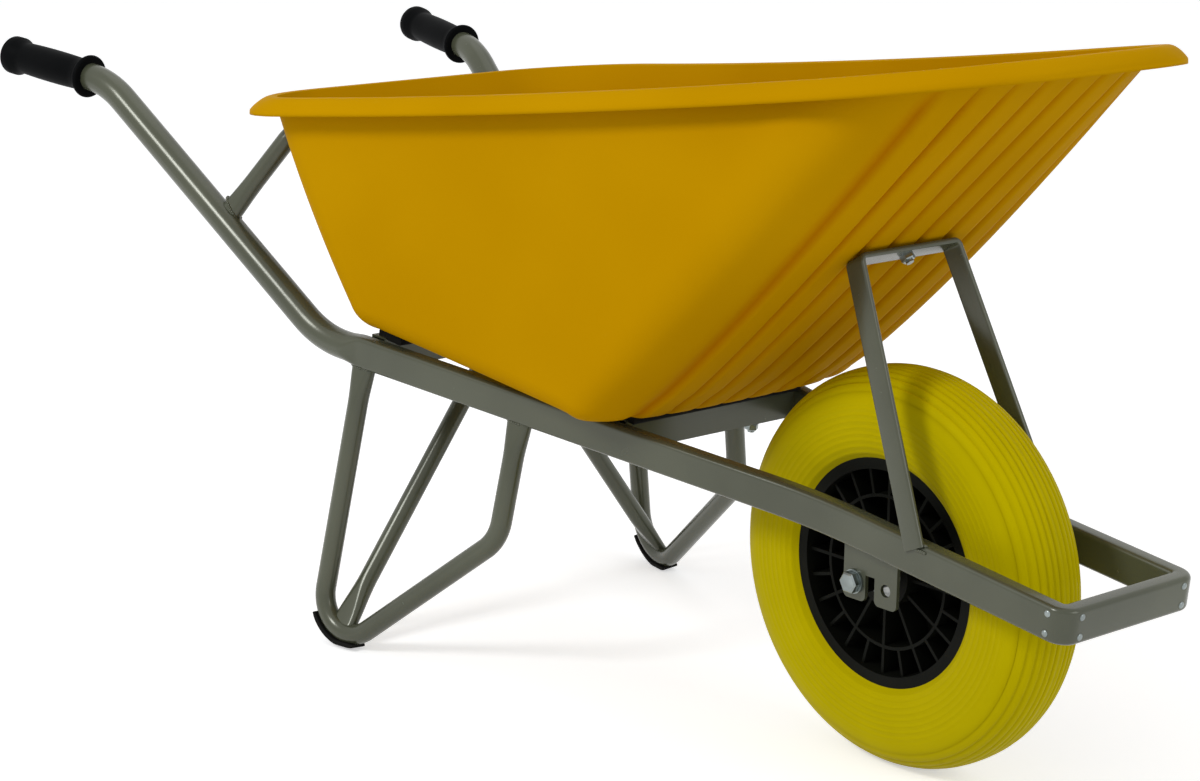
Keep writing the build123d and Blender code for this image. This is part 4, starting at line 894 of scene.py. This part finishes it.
def makeFasteners(s):
    hexes, domes = hexTree(s), domeTree(s)

    def fasten(name, tree, size, points, aims, node):
        sharp = sharpAt["hex" if tree == hexes else "dome"]
        handOver(grow(name, tree, s[size], mats["zinc"], points, aims, sharp), "frame", "zinc", node)

    def pair(middle, half):
        return [middle + acrossWay * half, middle - acrossWay * half]

    wall, lap = traySet["wall"], hoopSet["tube"] - hoopSet["seatLap"]
    ends = pair(np.array([0, 0, wheelR * 1000]), s["axleFace"])
    fasten("axleBolts", hexes, "axle", ends, [acrossWay, -acrossWay], "axle_bolts")
    hoopAt = pair(hoopSeat + hoopOut * lap, s["hoopHalf"])
    floorAt = pair(onDeck(frontCrossAt, 0, -railTop), s["floorHalf"])
    bracketAt = bracketSeat + bracketOut * (bracketSet["thick"] + bracketSet["wallGap"])
    aims = [hoopOut, hoopOut, -deckUp, -deckUp, bracketOut]
    fasten("trayNuts", hexes, "nut", [*hoopAt, *floorAt, bracketAt], aims, "tray_nuts")
    heads = pair(hoopSeat - hoopOut * wall, s["hoopHalf"])
    fasten("hoopBolts", domes, "head", heads, [-hoopOut, -hoopOut], "hoop_bolts")
    fasten("bracketBolt", domes, "head", [bracketSeat - bracketOut * wall], [-bracketOut], "bracket_bolt")
    heads = pair(onDeck(frontCrossAt, 0, traySet["lift"] + wall), s["floorHalf"])
    fasten("floorBolts", domes, "head", heads, [deckUp, deckUp], "floor_bolts")
    spots, aims = [], []
    back = railSet["cornerBend"] + s["rivetBack"]
    for sign in (1, -1):
        for rise in (s["rivetSpread"] / 2, -s["rivetSpread"] / 2):
            rise = rise - railSet["frontDrop"]
            spots.append(onDeck(railSet["barReach"] - back, sign * railSide, rise))
            spots.append(onDeck(railSet["barReach"] + railSet["width"] / 2, sign * (railSet["forkHalf"] - back), rise))
            aims += [acrossWay * sign, deckAlong]
    fasten("cornerRivets", domes, "rivet", spots, aims, "corner_rivets")


makeFasteners(boltSet)
print("fasteners ready")

padSet = {
    "wide": 40.0, "thick": 8.5, "edge": 2.0, "edgeSteps": 4,
    "front": (frontCrossAt, 118.0), "rear": (rearCrossAt, 178.0),  # place and half length
}


def makePads(s):
    def strip(at, total):
        return roundRect(s["wide"], s["thick"], s["edge"], s["edgeSteps"])

    for tag in ("front", "rear"):
        place, half = s[tag]
        line = np.array([onDeck(place, y, railTop + s["thick"] / 2) for y in (-half, half)])
        obj = makeTube(tag + "Pad", line, deckAlong, strip, mats["pad_rubber"])
        handOver(obj, "frame", "pad_rubber", tag + "_pad")


makePads(padSet)

weldSet = {
    "Bead": 0.0021, "Flat": 0.75, "pitch": 2.3, "segments": 8, "rings": 5, "sizes": (0.85, 1.15), "seed": 7,
    "legDown": 0.6, "braceWider": 1.15, "hoopUp": 17.5, "hoopWider": 1.05, "hoopSlope": 5,
    "topRow": (-15, 11, -2.6, 2.2), "sideRow": (-13, 13, 0.6, 8),  # behind and ahead of the strut, out, down
}


def weldTree(w):  # a row of overlapping beads
    s, g = makeTree("weldBeads", {k: w[k] for k in ("Bead", "Flat")})
    ball = {"Segments": w["segments"], "Rings": w["rings"], "Radius": g["Bead"]}
    ball = s.node("GeometryNodeMeshUVSphere", None, ball)
    size = s.node("ShaderNodeCombineXYZ", None, {0: 1.0, 1: 1.0, 2: g["Flat"]})
    draw = {2: w["sizes"][0], 3: w["sizes"][1], "Seed": w["seed"]}
    jitter = s.node("FunctionNodeRandomValue", {"data_type": "FLOAT"}, draw, out=1)
    bead = s.node("GeometryNodeTransform", None, {0: ball, "Scale": size})
    return closeTree(s, g, placeOn(s, g, bead, Scale=jitter))


def makeWelds(s):
    spots, aims = [], []

    def bead(spot, aim):
        for _, turn in sides:
            spots.append(turn(spot))
            aims.append(turn(aim))

    def ring(centre, a, b, aim):
        count = int(math.pi * (np.linalg.norm(a) + np.linalg.norm(b)) / s["pitch"])
        for t in np.arange(count) * 2 * math.pi / count:
            bead(centre + a * math.cos(t) + b * math.sin(t), aim)

    def row(place, aim):
        behind, ahead, out, down = place
        ends = [onDeck(bracketSet["footAhead"] + x, railSide + out, railTop - down) for x in (behind, ahead)]
        count = int(np.linalg.norm(ends[1] - ends[0]) / s["pitch"]) + 1
        for t in np.linspace(0, 1, count):
            bead(ends[0] + (ends[1] - ends[0]) * t, aim)

    for ahead in (0, legSet["spread"]):  # leg tops under the rail
        wide, thick = legAhead * legSet["flatWide"] / 2, legFlank * legSet["flatThick"] / 2
        ring(onLeg(ahead, s["legDown"]), wide, thick, legDown)
    brace = legSet["brace"]
    ring(braceTop, deckAlong * brace / 2, acrossWay * brace / 2 * s["braceWider"], -deckUp)
    way = unit(hoopCorner - hoopFoot)  # hoop feet on the rail
    across = unit(steepWay - way * (steepWay @ way))
    wide = across * hoopSet["flatWide"] / 2 * s["hoopWider"] + way * s["hoopSlope"]
    thick = np.cross(way, across) * hoopSet["flatThick"] / 2 * s["hoopWider"]
    ring(hoopFoot + way * s["hoopUp"], wide, thick, way)
    row(s["topRow"], deckUp)  # bracket feet on the rail
    row(s["sideRow"], acrossWay)
    beads = grow("weldBeads", weldTree(s), s, mats["frame_paint"], spots, aims, sharpAt["bead"])
    handOver(beads, "frame", "frame_paint")


makeWelds(weldSet)
print("pads and welds ready")

tyreSet = {
    "Outer": 0.2, "Widest": 0.15, "Half Width": 0.046, "Bead": 0.109, "Power": 2.45, "Bead Power": 4.0,
    "Tread Half": 0.0405, "Groove Pitch": groovePitch, "Groove Depth": 0.0015, "Turns": 160, "Rings": 300,
}


def tyreTree(sizes):  # a grid wrapped into a ring, its section a squared oval with grooves round the tread
    s, g = makeTree("foamTyre", sizes)
    cells = {"Size X": 1.0, "Size Y": 1.0, "Vertices X": g["Turns"], "Vertices Y": g["Rings"]}
    grid = s.node("GeometryNodeMeshGrid", None, cells)
    flat = s.node("GeometryNodeInputPosition")
    gx, gy = (s.node("ShaderNodeSeparateXYZ", None, {0: flat}, out=k) for k in (0, 1))
    spin, across = gx * (2 * math.pi), gy * (2 * math.pi)  # about the axle, and about the section from the tread
    c, n = across.cosine(), across.sine()
    outer = c.above(0.0)
    power = g["Power"] * outer + g["Bead Power"] * (1 - outer)
    rise = (g["Outer"] - g["Widest"]) * outer + (g["Widest"] - g["Bead"]) * (1 - outer)
    y = n.sign() * g["Half Width"] * abs(n) ** (2 / power)
    reach = g["Widest"] + c.sign() * rise * abs(c) ** (2 / power)
    tread = outer * abs(y).below(g["Tread Half"])
    wave = ((y / g["Groove Pitch"] * (2 * math.pi)).cosine() * 0.5 + 0.5) ** 3.0
    reach = reach - wave * tread * g["Groove Depth"]
    place = {0: reach * spin.cosine() + axleX, 1: y, 2: reach * spin.sine() + wheelR}
    place = s.node("ShaderNodeCombineXYZ", None, place)
    ring = s.node("GeometryNodeSetPosition", None, {"Geometry": grid, "Position": place})
    return closeTree(s, g, s.node("GeometryNodeMergeByDistance", None, {"Geometry": ring, "Distance": tyreMerge}))


tyre = grow("foamTyre", tyreTree(tyreSet), tyreSet, mats["tyre_foam"], [(0, 0, 0)], None, sharpAt["tyre"])
handOver(tyre, "wheel", "tyre_foam", "tyre")
print("tyre ready")

# CAD pieces that stay, with their finish
cadFinish = {
    "frame_paint": ["front_cross_tube", "rear_cross_tube", "axle_plate_left", "axle_plate_right"],
    "zinc": ["axle", "axle_washers"],
    "bearing_steel": ["bearing_left", "bearing_right"],
    "rim_plastic": ["rim"],
}


def refinish(names, mat):
    for name in names:
        nodes[name].data.materials.clear()
        nodes[name].data.materials.append(mat)


for slot, names in cadFinish.items():
    refinish(names, mats[slot])
refinish(("spacer_left", "spacer_right"), dullZinc)  # zinc darkened as painted shade, for the spacers deep behind the plates
